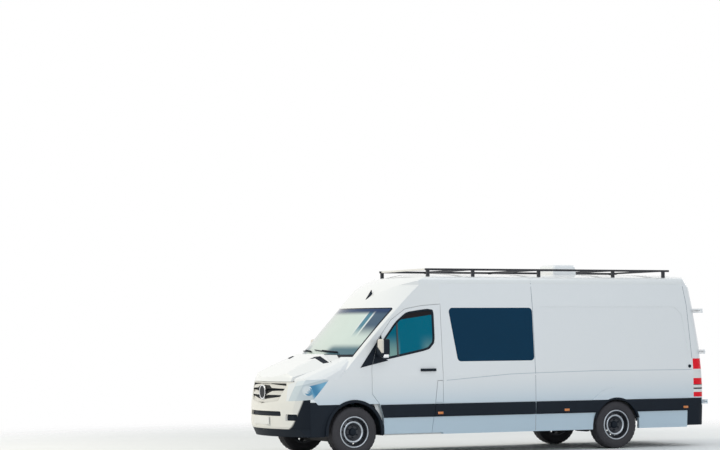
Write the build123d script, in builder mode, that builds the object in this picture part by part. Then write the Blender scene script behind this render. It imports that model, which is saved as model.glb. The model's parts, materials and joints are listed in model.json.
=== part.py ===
from build123d import *
import math
import os

os.makedirs("parts", exist_ok=True)

# Frame: +X forward, +Y to the left side of the vehicle, +Z up, millimetres.
# The origin is on the ground under the middle of the vehicle.
# Places along the vehicle are given as distances behind the front axle.

# Overall sizes
overall_length = 6945
front_overhang = 1004
wheelbase = 4325
front_axle_x = overall_length / 2 - front_overhang
rear_axle_back = wheelbase
tail_back = overall_length - front_overhang

# Wheels
tyre_radius = 350
tyre_width = 235
rim_radius = 203
rim_flange_radius = 221
half_track = 858
hub_bore = 42
hub_fit = 0.05
axle_z = tyre_radius
king_y = half_track - 68
arch_front_radius = 450
arch_rear_radius = 405
lining_radius = arch_front_radius + 2
lining_outer = lining_radius + 6
lining_y = 945

# Body cross-section: height above the ground, half width
sill_z = 290
side_half = 978
roof_split_z = 2440
roof_crown_z = roof_split_z + 160
body_side = ((sill_z, 955), (640, side_half), (1120, side_half), (2100, 903), (roof_split_z + 90, 845))
shoulder_radius = 90
skin = 40
wall = 60

# Floor
floor_top = 680
floor_plate = 30

# Clearances and small thicknesses
seat_gap = 0.3
door_gap = 5.5
glass_depth = 3
glass = 5

# Limits that lie outside the whole vehicle
reach_front = -1400
reach_back = 7600
reach_side = 1400
reach_low = -200
reach_high = 3400

# Screen and cab roof on the centre line: distance behind the front axle and height
screen_axis_back = 1700
screen_base = (-195, 1420)
screen_top = (378, 2100)
screen_knee_z = 2420
cap_axis_back = 2800
cap_start = (400, 2100)
cap_middle = (660, roof_crown_z - 250)
cap_end = (1000, roof_crown_z - 70)
cap_crown = (1600, roof_crown_z + 40)

# Nose on the centre line, distance behind the front axle and height
nose_axis_back = 800
nose_line = (
    (-930, 285),
    (-995, 430),
    (-1004, 570),
    (-995, 760),
    (-975, 920),
    (-950, 1050),
    (-930, 1120),
    (-860, 1300),
)
hood_start = (-930, 1120)
hood_middle = (-620, 1286)
hood_end = (-240, 1440)
hood_rise = 0.41
hood_chin_z = 900
hood_chin_reach = 180
hood_section = ((0, 1543), (480, 1537), (700, 1430), (850, 1397), (930, 1338), (1100, 1140))
nose_side = ((sill_z, 955), (640, side_half), (1080, side_half), (1230, 955), (1345, 890), (1425, 750))
nose_rear_back = 470
corner_start_back = -350
corner_middle = (-665, 900)
corner_end = (-866, 700)

# Panel breaks
door_rear_back = 1406
pillar_b_back = door_rear_back + door_gap + 0.5
belt_z = 1400
fender_inner_y = 700
hood_front_z = 1062
hood_rear_back = -240
hood_half = 740
hood_skin = 25
fender_skin = 30
bumper_skin = 60
lip_top_z = 400
corner_split_back = -650

# Nose openings, seen from the side, from the end and from above
lamp_side = ((-396, 1086), (-611, 814), (-1100, 770), (-1100, 1130), (-520, 1100))
lamp_front = ((610, 780), (605, 1018), (720, 1062), (1000, 1100), (1000, 770))
bumper_side = ((-1300, 814), (-611, 814), (-552, 737), (600, 737), (600, 150), (-1300, 150))
grille_front = ((-560, 1050), (560, 1050), (575, 1000), (440, 790), (0, 745), (-440, 790), (-575, 1000))
lower_slot = ((-520, 580), (-500, 648), (500, 648), (520, 580))
fog_slot = ((600, 520), (610, 608), (790, 608), (790, 520))
hood_plan = ((hood_rear_back, -hood_half), (-500, -720), (-790, -655), (-1100, -500),
             (-1100, 500), (-790, 655), (-500, 720), (hood_rear_back, hood_half))
hood_vent_plan = ((-410, 335), (-320, 350), (-255, 700), (-335, 665))

# Grille blades: top and bottom height of each
blades = ((1044, 958), (934, 874), (848, 770))
blade_top_depth = 26
blade_edge_depth = 5
blade_back_depth = 38
blade_lip = 10
badge_z = 912
badge_radius = 104

# Screen and cab doors
screen_front = ((-901, 1300), (901, 1300), (860, 2095), (-860, 2095))
door_front_edge = ((278, 880), (278, 1240), (391, 1645), (609, 1917), (840, 2073), (1096, 2118))
door_front_foot = ((475, 310), (455, 560), (395, 735))
door_outline = (*door_front_edge, (door_rear_back, 2141), (door_rear_back, 310), *door_front_foot)
flap_corner = ((1318, 1055), (1225, 310))
door_outline_left = (*door_front_edge, (door_rear_back, 2141), (door_rear_back, 1055), *flap_corner,
                     *door_front_foot)
flap_bay = ((1324, 1049.5), (pillar_b_back + 10, 1049.5), (pillar_b_back + 10, 310), (1231, 310))
flap_outline = ((1324, 1049), (door_rear_back, 1049), (door_rear_back, 743), (1286, 743))
flap_skin = 8
flap_recess = 14
door_window = ((410, 1345), (1190, 1496), (1290, 1600), (1290, 2055), (1190, 2070), (860, 2025), (680, 1885),
               (450, 1600))
window_bar = (690, 712)
sail = ((98, 1248), (442, 1706), (455, 1600), (425, 1400), (539, 1345))
door_skin = 20
door_thickness = 80
pan_step = 20
frame_depth = 115

# Sliding door and side windows
slide_outline = ((1440, 350), (2935, 350), (2935, 2150), (1440, 2150))
side_window = ((1661, 1320), (2930, 1320), (2930, 2090), (1534, 2090))
slide_window = ((1661, 1320), (2860, 1320), (2860, 2090), (1534, 2090))
side_pressing = ((3060, 1343), (3060, 2106), (tail_back - 531, 2106), (tail_back - 401, 1996),
                 (tail_back - 295, 1343))
pressing_depth = 5
flare_radius = 560
flare_height = 12

# Rear end
rear_profile = ((tail_back - 15, 285), (tail_back - 15, 900), (tail_back - 46, 1500),
                (tail_back - 171, roof_split_z - 40), (tail_back - 301, roof_crown_z + 20))
rear_door_top = roof_split_z - 40
rear_door_outline = ((5, 605), (800, 605), (800, 1120), (725, 2100), (662, rear_door_top),
                     (5, rear_door_top))
rear_corner_radius = 140
corner_cut = 0.31
corner_reach = 60
rear_window = ((110, 1330), (670, 1330), (620, 2080), (110, 2080))
rear_door_thickness = 50
rear_post_depth = 90
bumper_rear_back = tail_back - 353
bumper_rear_top = 725
bumper_step_back = tail_back - 81
bumper_step_top = 618
rear_lamp_z = (741, 1318)
rear_lamp_back = tail_back - 241
rear_lamp_y = 812
rear_lamp_depth = 20

# Rear door hinges: a line that leans forward with height
hinge_y = 1000
hinge_foot = (tail_back - 9, 600)
hinge_lean = 0.05
hinge_heights = (665, 1420, 2040)
barrel_radius = 9
barrel_half = 11
hinge_web_reach = 45
hinge_web_root = 60
strap_standoff = 5.5
strap_plate = 5

# Side band: half section, width and height
band_section = ((900, 535), (990, 540), (996.5, 560), (996.5, 700), (990, 722), (900, 725))

# Chassis
rail_y = 440
rail_half = 35
rail_low = 430
rail_high = 540
rail_end_back = tail_back - 141
wheelhouse_y = half_track - tyre_width / 2 - 25.5
wheelhouse_half = 400
inner_half = side_half - wall - seat_gap

# Roof vent and rack
vent_back = 3920
vent_half = 200
vent_top = roof_crown_z + 60
rack_y = 735
rack_foot_low = roof_crown_z - 120
rack_rail_low = roof_crown_z + 32
rack_rail_top = roof_crown_z + 62
rack_bar_low = roof_crown_z + 36
rack_bars = (1300, 2040, 3150, 4440, 5340)


def behind(distance):
    """X of a place given as its distance behind the front axle."""
    return front_axle_x - distance


# Shared shapes


def side_prism(outline, y_low, y_high, grow=0, rounding=0):
    """Solid of an outline seen from the side, between two distances from the middle."""
    with BuildPart() as prism:
        with BuildSketch(Plane.XZ.offset(-y_high)) as sketch:
            with BuildLine():
                Polyline(*[(behind(back), z) for back, z in outline], close=True)
            make_face()
            if rounding:
                fillet(sketch.vertices(), rounding)
            if grow:
                offset(amount=grow, kind=Kind.INTERSECTION)
        extrude(amount=y_high - y_low)
    return prism.part


def end_prism(outline, back_low, back_high, grow=0, rounding=0):
    """Solid of an outline seen from the end, between two distances behind the axle."""
    with BuildPart() as prism:
        with BuildSketch(Plane.YZ.offset(behind(back_high))) as sketch:
            with BuildLine():
                Polyline(*outline, close=True)
            make_face()
            if rounding:
                fillet(sketch.vertices(), rounding)
            if grow:
                offset(amount=grow, kind=Kind.INTERSECTION)
        extrude(amount=back_high - back_low)
    return prism.part


def top_prism(outline, z_low, z_high, grow=0):
    """Solid of an outline seen from above: distance behind the axle and Y."""
    with BuildPart() as prism:
        with BuildSketch(Plane.XY.offset(z_low)):
            with BuildLine():
                Polyline(*[(behind(back), y) for back, y in outline], close=True)
            make_face()
            if grow:
                offset(amount=grow, kind=Kind.INTERSECTION)
        extrude(amount=z_high - z_low)
    return prism.part


def slab(back_low, back_high, y_low, y_high, z_low, z_high):
    """Plain box between the given places."""
    with BuildPart() as box:
        with BuildSketch(Plane.XY.offset(z_low)):
            with Locations(((behind(back_low) + behind(back_high)) / 2, (y_low + y_high) / 2)):
                Rectangle(back_high - back_low, abs(y_high - y_low))
        extrude(amount=z_high - z_low)
    return box.part


def across(back_low, back_high, z_low, z_high):
    """Box as wide as the reach, for cuts across the whole vehicle."""
    return slab(back_low, back_high, -reach_side, reach_side, z_low, z_high)


def post(back, y, z_low, z_high, radius):
    """Upright round bar."""
    with BuildPart() as bar:
        with BuildSketch(Plane.XY.offset(z_low)):
            with Locations((behind(back), y)):
                Circle(radius)
        extrude(amount=z_high - z_low)
    return bar.part


def cross_bar(back, z, y_low, y_high, radius):
    """Round bar across the vehicle."""
    with BuildPart() as bar:
        with BuildSketch(Plane.XZ.offset(-y_high)):
            with Locations((behind(back), z)):
                Circle(radius)
        extrude(amount=y_high - y_low)
    return bar.part


def long_bar(y, z, back_low, back_high, radius):
    """Round bar along the vehicle."""
    with BuildPart() as bar:
        with BuildSketch(Plane.YZ.offset(behind(back_high))):
            with Locations((y, z)):
                Circle(radius)
        extrude(amount=back_high - back_low)
    return bar.part


def wheel_space(back, radius, y_low, y_high):
    """Round-topped space over a wheel, open at the bottom."""
    with BuildPart() as space:
        add(cross_bar(back, axle_z, y_low, y_high, radius))
        add(slab(back - radius, back + radius, y_low, y_high, reach_low, axle_z))
    return space.part


def arch_ring(back, inner, outer, y_low, y_high, z_low):
    """Half ring over a wheel, down to the given height."""
    with BuildPart() as ring:
        add(wheel_space(back, outer, y_low, y_high))
        add(wheel_space(back, inner, y_low - 1, y_high + 1), mode=Mode.SUBTRACT)
        add(across(back - outer - 1, back + outer + 1, reach_low - 1, z_low), mode=Mode.SUBTRACT)
    return ring.part


def both_sides(left_part):
    """A left-hand shape with its mirror image on the right."""
    with BuildPart() as pair:
        add(left_part)
        mirror(left_part, about=Plane.XZ)
    return pair.part


def body_block(back_low, back_high, inset):
    """Length of the van body, `inset` inside its outer skin."""
    half = [(width - inset, z) for z, width in body_side]
    half[-1] = (half[-1][0], half[-1][1] - inset)
    with BuildPart() as block:
        with BuildSketch(Plane.YZ.offset(behind(back_high))) as sketch:
            with BuildLine():
                Polyline(*half)
                Polyline(*[(-y, z) for y, z in half])
                Line((-half[0][0], sill_z), (half[0][0], sill_z))
                ThreePointArc(half[-1], (0, roof_crown_z - inset), (-half[-1][0], half[-1][1]))
            make_face()
            corners = sketch.vertices().group_by(Axis.Y)[-1]
            fillet(corners, shoulder_radius)
        extrude(amount=back_high - back_low)
    return block.part


def body_shell(back_low, back_high, outer, inner):
    """Length of the body between two depths below its outer skin."""
    with BuildPart() as shell:
        add(body_block(back_low, back_high, outer))
        add(body_block(back_low - 10, back_high + 10, inner), mode=Mode.SUBTRACT)
    return shell.part


def cab_block(inset):
    """Upper cab: the raked screen and the roof cap above it, each rounded in plan."""
    slope = (screen_top[0] - screen_base[0]) / (screen_top[1] - screen_base[1])
    foot_z = belt_z - 350
    foot = (screen_base[0] - slope * (screen_base[1] - foot_z), foot_z)
    knee = (screen_top[0] + slope * (screen_knee_z - screen_top[1]), screen_knee_z)
    low, bend = [(behind(b + inset), z - inset * 0.5) for b, z in (foot, knee)]
    points = (cap_start, cap_middle, cap_end, cap_crown)
    start, middle, end, crown = [(behind(b + inset), z - inset * 0.5) for b, z in points]
    screen_x = behind(screen_axis_back)
    cap_x = behind(cap_axis_back)
    front_x = behind(reach_front)
    with BuildPart() as cap:
        with BuildSketch(Plane.XZ):
            with BuildLine():
                Polyline((cap_x, low[1]), (front_x, low[1]), (front_x, start[1]), start)
                ThreePointArc(start, middle, end)
                Polyline(end, crown, (cap_x, crown[1]), (cap_x, low[1]))
            make_face()
        revolve(axis=Axis((cap_x, 0, 0), (0, 0, 1)), revolution_arc=360)
    with BuildPart() as block:
        with BuildSketch(Plane.XZ):
            with BuildLine():
                Polyline((screen_x, low[1]), low, bend, (bend[0], reach_high), (screen_x, reach_high),
                         close=True)
            make_face()
        revolve(axis=Axis((screen_x, 0, 0), (0, 0, 1)), revolution_arc=360)
        add(cap.part, mode=Mode.INTERSECT)
        add(body_block(-550, pillar_b_back, inset), mode=Mode.INTERSECT)
    return block.part


def cab_foot(inset):
    """Part of the cab below the screen, which the front wings cover."""
    with BuildPart() as foot:
        add(cab_block(inset))
        add(across(reach_front, nose_rear_back, reach_low, belt_z), mode=Mode.INTERSECT)
    return foot.part


def nose_plan(inset):
    """Nose outline seen from above, as a tall solid with rounded front corners."""
    side = side_half - inset
    rear_x = behind(nose_rear_back)
    with BuildPart() as plan:
        with BuildSketch(Plane.XY.offset(reach_low)):
            with BuildLine():
                for sign in (1, -1):
                    start = (behind(corner_start_back), sign * side)
                    middle = (behind(corner_middle[0] + inset), sign * (corner_middle[1] - inset))
                    stop = (behind(corner_end[0] + inset), sign * corner_end[1])
                    Line((rear_x, sign * side), start)
                    ThreePointArc(start, middle, stop)
                    Line(stop, (behind(-1170), 0))
                Line((rear_x, side), (rear_x, -side))
            make_face()
        extrude(amount=reach_high - reach_low)
    return plan.part


def hood_cover(inset):
    """Space under the hood surface: an arched profile with shoulders that rise with it."""
    points = (hood_start, hood_middle, hood_end)
    start, middle, end = [(behind(b + inset * 0.5), z - inset) for b, z in points]
    rear_x = behind(nose_rear_back)
    front_x = behind(reach_front)
    half = [(y, z - inset * 1.15 + hood_rise * nose_rear_back) for y, z in hood_section]
    slope = Vector(1, 0, -hood_rise)
    with BuildPart() as shoulders:
        with BuildSketch(Plane.YZ.offset(rear_x)):
            with BuildLine():
                Polyline(*half, (half[-1][0], -reach_high), (-half[-1][0], -reach_high),
                         *[(-y, z) for y, z in reversed(half)])
            make_face()
        extrude(amount=(nose_rear_back - reach_front) * slope.length, dir=slope.normalized())
    with BuildPart() as cover:
        with BuildSketch(Plane.XZ.offset(-reach_side)):
            with BuildLine():
                Polyline((rear_x, reach_low), (front_x, reach_low), (front_x, hood_chin_z),
                         (start[0] + hood_chin_reach, hood_chin_z), start)
                ThreePointArc(start, middle, end)
                Polyline(end, (rear_x, end[1]), (rear_x, reach_low))
            make_face()
        extrude(amount=2 * reach_side)
        add(shoulders.part, mode=Mode.INTERSECT)
    return cover.part


def nose_block(inset):
    """Front end below the screen, rounded in plan and at its shoulders."""
    axis_x = behind(nose_axis_back)
    lift = inset * 0.7
    line = [(behind(b + inset), z) for b, z in nose_line]
    half = [(width - inset, z) for z, width in nose_side]
    half = half[:-3] + [(y, z - lift) for y, z in half[-3:]]
    section = (*half, (0, 1500 - inset), *[(-y, z) for y, z in reversed(half)])
    with BuildPart() as block:
        with BuildSketch(Plane.XZ):
            with BuildLine():
                Polyline(*line, (line[-1][0], reach_high), (axis_x, reach_high), (axis_x, sill_z - 5),
                         close=True)
            make_face()
        revolve(axis=Axis((axis_x, 0, 0), (0, 0, 1)), revolution_arc=360)
        add(hood_cover(inset), mode=Mode.INTERSECT)
        add(end_prism(section, reach_front, nose_rear_back), mode=Mode.INTERSECT)
        add(nose_plan(inset), mode=Mode.INTERSECT)
    return block.part


def nose_shell(outer, inner):
    """Nose between two depths below its outer skin."""
    with BuildPart() as shell:
        add(nose_block(outer))
        add(nose_block(inner), mode=Mode.SUBTRACT)
    return shell.part


def rear_block(depth):
    """Everything ahead of the rear face, or of a face `depth` inside it."""
    profile = [(back - depth, z) for back, z in rear_profile]
    front = pillar_b_back - 200
    return side_prism(((front, reach_low), (profile[0][0], reach_low), *profile, (front, reach_high)),
                      -reach_side, reach_side)


def rear_shell(outer, inner):
    """Layer between two depths inside the rear face."""
    with BuildPart() as shell:
        add(rear_block(outer))
        add(rear_block(inner), mode=Mode.SUBTRACT)
    return shell.part


def rear_face_back(z):
    """Place of the rear face at a height."""
    for (low_back, low_z), (high_back, high_z) in zip(rear_profile, rear_profile[1:]):
        if z <= high_z:
            return low_back + (high_back - low_back) * (z - low_z) / (high_z - low_z)
    return rear_profile[-1][0]


def side_y(z):
    """Half width of the body at a height."""
    for (low_z, low_y), (high_z, high_y) in zip(body_side, body_side[1:]):
        if z <= high_z:
            return low_y + (high_y - low_y) * (z - low_z) / (high_z - low_z)
    return body_side[-1][1]


def rear_corner_cuts(depth):
    """What the rounding of the rear left corner takes away, `depth` inside the skin."""
    levels = sorted({z for z, width in body_side} | {z for back, z in rear_profile})
    radius = rear_corner_radius - depth
    with BuildPart() as cuts:
        for low, high in zip(levels, levels[1:]):
            corner = Vector(behind(rear_face_back(low) - depth), side_y(low) - depth, low)
            upper = Vector(behind(rear_face_back(high) - depth), side_y(high) - depth, high)
            lean = upper - corner
            with BuildSketch(Plane(origin=corner)):
                with BuildLine():
                    ThreePointArc((0, -radius), (radius * corner_cut, -radius * corner_cut), (radius, 0))
                    Polyline((radius, 0), (radius, corner_reach), (-corner_reach, corner_reach),
                             (-corner_reach, -radius), (0, -radius))
                make_face()
            extrude(amount=lean.length, dir=lean.normalized())
    return cuts.part


def lamp_space(grow):
    """Left headlamp's place in the nose."""
    with BuildPart() as space:
        add(side_prism(lamp_side, 0, reach_side, grow=grow))
        add(end_prism(lamp_front, reach_front, 0, grow=grow), mode=Mode.INTERSECT)
    return space.part


def save(part, label):
    part.label = label
    export_step(part, f"parts/{label}.step")


# Body shells that the panels share

with BuildPart() as rear_limit:
    add(rear_block(0))
    add(both_sides(rear_corner_cuts(0)), mode=Mode.SUBTRACT)
rear_cut = rear_limit.part
body_outer = body_block(pillar_b_back, tail_back, 0)
body_inner = body_block(pillar_b_back - 10, tail_back, wall)
roof_and_up = across(pillar_b_back - 300, reach_back, roof_split_z, reach_high)
roof_and_down = across(pillar_b_back - 10, reach_back, reach_low, roof_split_z + seat_gap)
with BuildPart() as rear_bumper_space:
    add(across(bumper_rear_back, bumper_step_back, reach_low, bumper_rear_top))
    add(across(bumper_step_back, reach_back, reach_low, bumper_step_top))
left_half = slab(reach_front, reach_back, 0, reach_side, reach_low, reach_high)
right_half = slab(reach_front, reach_back, -reach_side, 0, reach_low, reach_high)
rear_arch = wheel_space(rear_axle_back, arch_rear_radius, -reach_side, reach_side)
front_arch = wheel_space(0, arch_front_radius, -reach_side, reach_side)

with BuildPart() as flares:
    add(body_shell(rear_axle_back - 600, rear_axle_back + 600, -flare_height, wall))
    add(cross_bar(rear_axle_back, axle_z, -reach_side, reach_side, flare_radius), mode=Mode.INTERSECT)
    add(across(pillar_b_back, reach_back, reach_low, 725), mode=Mode.SUBTRACT)

with BuildPart() as rear_opening:
    add(both_sides(end_prism(rear_door_outline, bumper_rear_back - 200, reach_back, grow=door_gap)))
    add(slab(bumper_rear_back - 200, reach_back, -600, 600, reach_low, roof_split_z - 30))

with BuildPart() as corner_posts:
    add(body_outer)
    add(rear_cut, mode=Mode.INTERSECT)
    add(rear_block(rear_post_depth), mode=Mode.SUBTRACT)
    add(rear_opening.part, mode=Mode.SUBTRACT)

with BuildPart() as lamp_bay:
    add(body_block(rear_lamp_back, tail_back, 0))
    add(rear_cut, mode=Mode.INTERSECT)
    add(slab(rear_lamp_back, reach_back, rear_lamp_y, reach_side, *rear_lamp_z), mode=Mode.INTERSECT)
with BuildPart() as lamp_core:
    add(body_block(rear_lamp_back - 100, tail_back, rear_lamp_depth))
    add(rear_block(rear_lamp_depth), mode=Mode.INTERSECT)
    add(rear_corner_cuts(rear_lamp_depth), mode=Mode.SUBTRACT)
with BuildPart() as rear_lamp:
    add(lamp_bay.part)
    add(lamp_core.part, mode=Mode.SUBTRACT)
rear_lamp_pair = both_sides(rear_lamp.part)
save(rear_lamp_pair, "rear_lamps")

with BuildPart() as side_shell:
    add(body_outer)
    add(rear_cut, mode=Mode.INTERSECT)
    add(body_inner, mode=Mode.SUBTRACT)
    add(flares.part)
    add(corner_posts.part)
    add(roof_and_up, mode=Mode.SUBTRACT)
    add(rear_arch, mode=Mode.SUBTRACT)
    add(rear_bumper_space.part, mode=Mode.SUBTRACT)
    add(rear_lamp_pair, mode=Mode.SUBTRACT)

with BuildPart() as pressing:
    add(body_shell(pillar_b_back, tail_back, -1, pressing_depth))
    add(side_prism(side_pressing, -reach_side, reach_side, rounding=40), mode=Mode.INTERSECT)


# Rear door hinges

hinge_up = Vector(hinge_lean, 0, 1).normalized()


def hinge_back(z):
    """Place of the hinge line at a height."""
    return hinge_foot[0] - hinge_lean * (z - hinge_foot[1])


def hinge_barrel(z, low, high):
    """Round barrel on the left hinge line, between two distances along it."""
    foot = Vector(behind(hinge_back(z)), hinge_y, z) + hinge_up * low
    with BuildPart() as barrel:
        with BuildSketch(Plane(origin=foot, x_dir=(0, 1, 0), z_dir=hinge_up)):
            Circle(barrel_radius)
        extrude(amount=high - low)
    return barrel.part


with BuildPart() as body_knuckles:
    for z in hinge_heights:
        for low, high in ((-barrel_half - 21, -barrel_half - 1), (barrel_half + 1, barrel_half + 21)):
            add(hinge_barrel(z, low, high))
            back = hinge_back(z)
            corner = min(back, rear_face_back(z)) - hinge_web_reach
            add(slab(corner, back + 5, side_y(z) - hinge_web_root, hinge_y, z + low + 2, z + high - 2))
    add(rear_opening.part, mode=Mode.SUBTRACT)
    add(rear_bumper_space.part, mode=Mode.SUBTRACT)

with BuildPart() as door_straps:
    for z in hinge_heights:
        add(hinge_barrel(z, -barrel_half, barrel_half))
        face = rear_face_back(z)
        plate = face + strap_standoff + strap_plate
        edge = side_y(z) - 160
        add(slab(face + strap_standoff, plate, edge - 90, hinge_y, z - 9, z + 9))
        near, far = sorted((face + strap_standoff, hinge_back(z)))
        add(slab(near, max(far, plate), hinge_y - 8, hinge_y, z - 9, z + 9))
        add(slab(face - 20, plate, edge - 90, edge - 30, z - 25, z + 25))

# Body sides

with BuildPart() as side_panel_left:
    add(side_shell.part)
    add(left_half, mode=Mode.INTERSECT)
    add(pressing.part, mode=Mode.SUBTRACT)
    add(side_prism(side_window, 0, reach_side, rounding=60), mode=Mode.SUBTRACT)
    add(body_knuckles.part)

with BuildPart() as flap_pillar:
    add(body_shell(pillar_b_back - 200, pillar_b_back + 10, 0, wall))
    add(side_prism(flap_bay, 0, reach_side), mode=Mode.INTERSECT)
with BuildPart() as flap_pocket:
    add(body_shell(pillar_b_back - 200, pillar_b_back, -1, flap_recess))
    add(slab(pillar_b_back - 200, pillar_b_back, 0, reach_side, 737, 1060), mode=Mode.INTERSECT)
with BuildPart() as flap_catch:
    add(body_shell(1300, 1320, flap_skin + seat_gap, flap_recess + 5))
    add(slab(1300, 1330, 0, reach_side, 850, 880), mode=Mode.INTERSECT)
with BuildPart() as side_panel_left_whole:
    add(side_panel_left.part)
    add(flap_pillar.part)
    add(flap_pocket.part, mode=Mode.SUBTRACT)
    add(flap_catch.part)
save(side_panel_left_whole.part, "side_panel_left")

with BuildPart() as fuel_flap:
    add(body_shell(pillar_b_back - 200, pillar_b_back, 0, flap_skin))
    add(side_prism(flap_outline, 0, reach_side), mode=Mode.INTERSECT)
save(fuel_flap.part, "fuel_flap")

body_knuckles_right = mirror(body_knuckles.part, about=Plane.XZ)
with BuildPart() as side_panel_right:
    add(side_shell.part)
    add(right_half, mode=Mode.INTERSECT)
    add(pressing.part, mode=Mode.SUBTRACT)
    add(side_prism(slide_outline, -reach_side, 0, grow=door_gap, rounding=60), mode=Mode.SUBTRACT)
    add(body_knuckles_right)
save(side_panel_right.part, "side_panel_right")

with BuildPart() as sliding_door:
    add(body_shell(pillar_b_back, tail_back, 0, wall))
    add(side_prism(slide_outline, -reach_side, 0, rounding=60), mode=Mode.INTERSECT)
    add(side_prism(slide_window, -reach_side, 0, rounding=60), mode=Mode.SUBTRACT)
save(sliding_door.part, "sliding_door")

with BuildPart() as side_window_panes:
    add(side_prism(side_window, 0, reach_side, grow=-seat_gap, rounding=60))
    add(side_prism(slide_window, -reach_side, -10, grow=-seat_gap, rounding=60))
with BuildPart() as side_windows:
    add(body_shell(pillar_b_back, tail_back, glass_depth, glass_depth + glass))
    add(side_window_panes.part, mode=Mode.INTERSECT)
save(side_windows.part, "side_windows")

# Roof behind the cab

with BuildPart() as roof_inside:
    add(body_block(pillar_b_back - 10, tail_back, skin))
    add(rear_block(rear_post_depth), mode=Mode.INTERSECT)
with BuildPart() as roof:
    add(body_outer)
    add(rear_cut, mode=Mode.INTERSECT)
    add(roof_inside.part, mode=Mode.SUBTRACT)
    add(roof_and_down, mode=Mode.SUBTRACT)
    add(slab(vent_back - vent_half, vent_back + vent_half, -vent_half, vent_half, roof_split_z, reach_high),
        mode=Mode.SUBTRACT)
save(roof.part, "roof")

# Cab top with the screen posts

below_belt = across(reach_front, pillar_b_back, reach_low, belt_z)
door_cut = side_prism(door_outline, -reach_side, reach_side, grow=door_gap)
with BuildPart() as cab_top:
    add(cab_block(0))
    add(cab_block(skin), mode=Mode.SUBTRACT)
    add(below_belt, mode=Mode.SUBTRACT)
    add(door_cut, mode=Mode.SUBTRACT)
    add(end_prism(screen_front, reach_front, 900, rounding=40), mode=Mode.SUBTRACT)
save(cab_top.part, "cab_top")

with BuildPart() as windscreen:
    add(cab_block(2))
    add(cab_block(2 + glass), mode=Mode.SUBTRACT)
    add(end_prism(screen_front, reach_front, 900, grow=-seat_gap, rounding=40), mode=Mode.INTERSECT)
    add(below_belt, mode=Mode.SUBTRACT)
save(windscreen.part, "windscreen")

# Nose panels

nose_outer = nose_block(0)
lamp_spaces = both_sides(lamp_space(0))
hood_space = top_prism(hood_plan, hood_front_z, reach_high)
hood_clear = top_prism(hood_plan, hood_front_z - door_gap, reach_high, grow=door_gap)
hood_vent_space = both_sides(top_prism(hood_vent_plan, belt_z - 250, reach_high))

with BuildPart() as hood:
    add(nose_shell(0, hood_skin))
    add(hood_space, mode=Mode.INTERSECT)
    add(both_sides(lamp_space(door_gap)), mode=Mode.SUBTRACT)
    add(hood_vent_space, mode=Mode.SUBTRACT)
save(hood.part, "hood")

with BuildPart() as hood_vents:
    add(nose_shell(3, 12))
    add(both_sides(top_prism(hood_vent_plan, belt_z - 250, reach_high, grow=-seat_gap)), mode=Mode.INTERSECT)
save(hood_vents.part, "hood_vents")

# Front wings with the ledge that the closed hood lies on
with BuildPart() as hood_ledge:
    add(nose_shell(hood_skin + seat_gap, hood_skin + 22))
    add(top_prism(hood_plan, hood_front_z + 10, reach_high, grow=door_gap + 20), mode=Mode.INTERSECT)
    add(top_prism(hood_plan, hood_front_z, reach_high, grow=-35), mode=Mode.SUBTRACT)
    add(across(hood_rear_back - 10, nose_rear_back, reach_low, reach_high), mode=Mode.SUBTRACT)
with BuildPart() as cab_space_above:
    add(cab_block(-seat_gap))
    add(across(reach_front, pillar_b_back, reach_low, belt_z - seat_gap), mode=Mode.SUBTRACT)
with BuildPart() as fenders:
    add(nose_outer)
    add(cab_foot(0))
    add(nose_block(fender_skin), mode=Mode.SUBTRACT)
    add(cab_foot(fender_skin), mode=Mode.SUBTRACT)
    add(hood_clear, mode=Mode.SUBTRACT)
    add(slab(reach_front, nose_rear_back, -fender_inner_y, fender_inner_y, reach_low, reach_high),
        mode=Mode.SUBTRACT)
    add(hood_ledge.part)
    add(lamp_spaces, mode=Mode.SUBTRACT)
    add(front_arch, mode=Mode.SUBTRACT)
    add(door_cut, mode=Mode.SUBTRACT)
    add(side_prism(bumper_side, -reach_side, reach_side), mode=Mode.SUBTRACT)
    add(cab_space_above.part, mode=Mode.SUBTRACT)
save(fenders.part, "fenders")

with BuildPart() as headlamps:
    add(nose_shell(0, 6))
    add(lamp_spaces, mode=Mode.INTERSECT)
save(headlamps.part, "headlamps")

# Bumper in three parts: painted middle, black corners and black lip

bumper_low = side_prism(bumper_side, -reach_side, reach_side, grow=-seat_gap)
with BuildPart() as bumper_whole:
    add(nose_shell(0, bumper_skin))
    add(front_arch, mode=Mode.SUBTRACT)
    add(across(0, nose_rear_back + 10, reach_low, reach_high), mode=Mode.SUBTRACT)
    add(across(reach_front, 0, hood_front_z - door_gap, reach_high), mode=Mode.SUBTRACT)
    add(lamp_spaces, mode=Mode.SUBTRACT)
    add(end_prism(grille_front, reach_front, -500), mode=Mode.SUBTRACT)
with BuildPart() as bumper_region:
    add(bumper_low)
    add(slab(reach_front, 0, -fender_inner_y, fender_inner_y, reach_low, reach_high))
with BuildPart() as bumper_front:
    add(bumper_whole.part)
    add(bumper_region.part, mode=Mode.INTERSECT)
    add(across(corner_split_back - seat_gap, 0, reach_low, reach_high), mode=Mode.SUBTRACT)
    add(across(reach_front, 0, reach_low, lip_top_z + seat_gap), mode=Mode.SUBTRACT)
    add(end_prism(lower_slot, reach_front, -500, rounding=20), mode=Mode.SUBTRACT)
    add(both_sides(end_prism(fog_slot, reach_front, -500, rounding=15)), mode=Mode.SUBTRACT)
save(bumper_front.part, "bumper_front")

# Grille: frame, three blades that follow the round nose, and a bare disc


def nose_radius(z):
    """Distance of the nose face from its plan axis at a height."""
    for (low_back, low_z), (high_back, high_z) in zip(nose_line, nose_line[1:]):
        if z <= high_z:
            back = low_back + (high_back - low_back) * (z - low_z) / (high_z - low_z)
            return nose_axis_back - back
    return nose_axis_back - nose_line[-1][0]


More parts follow.
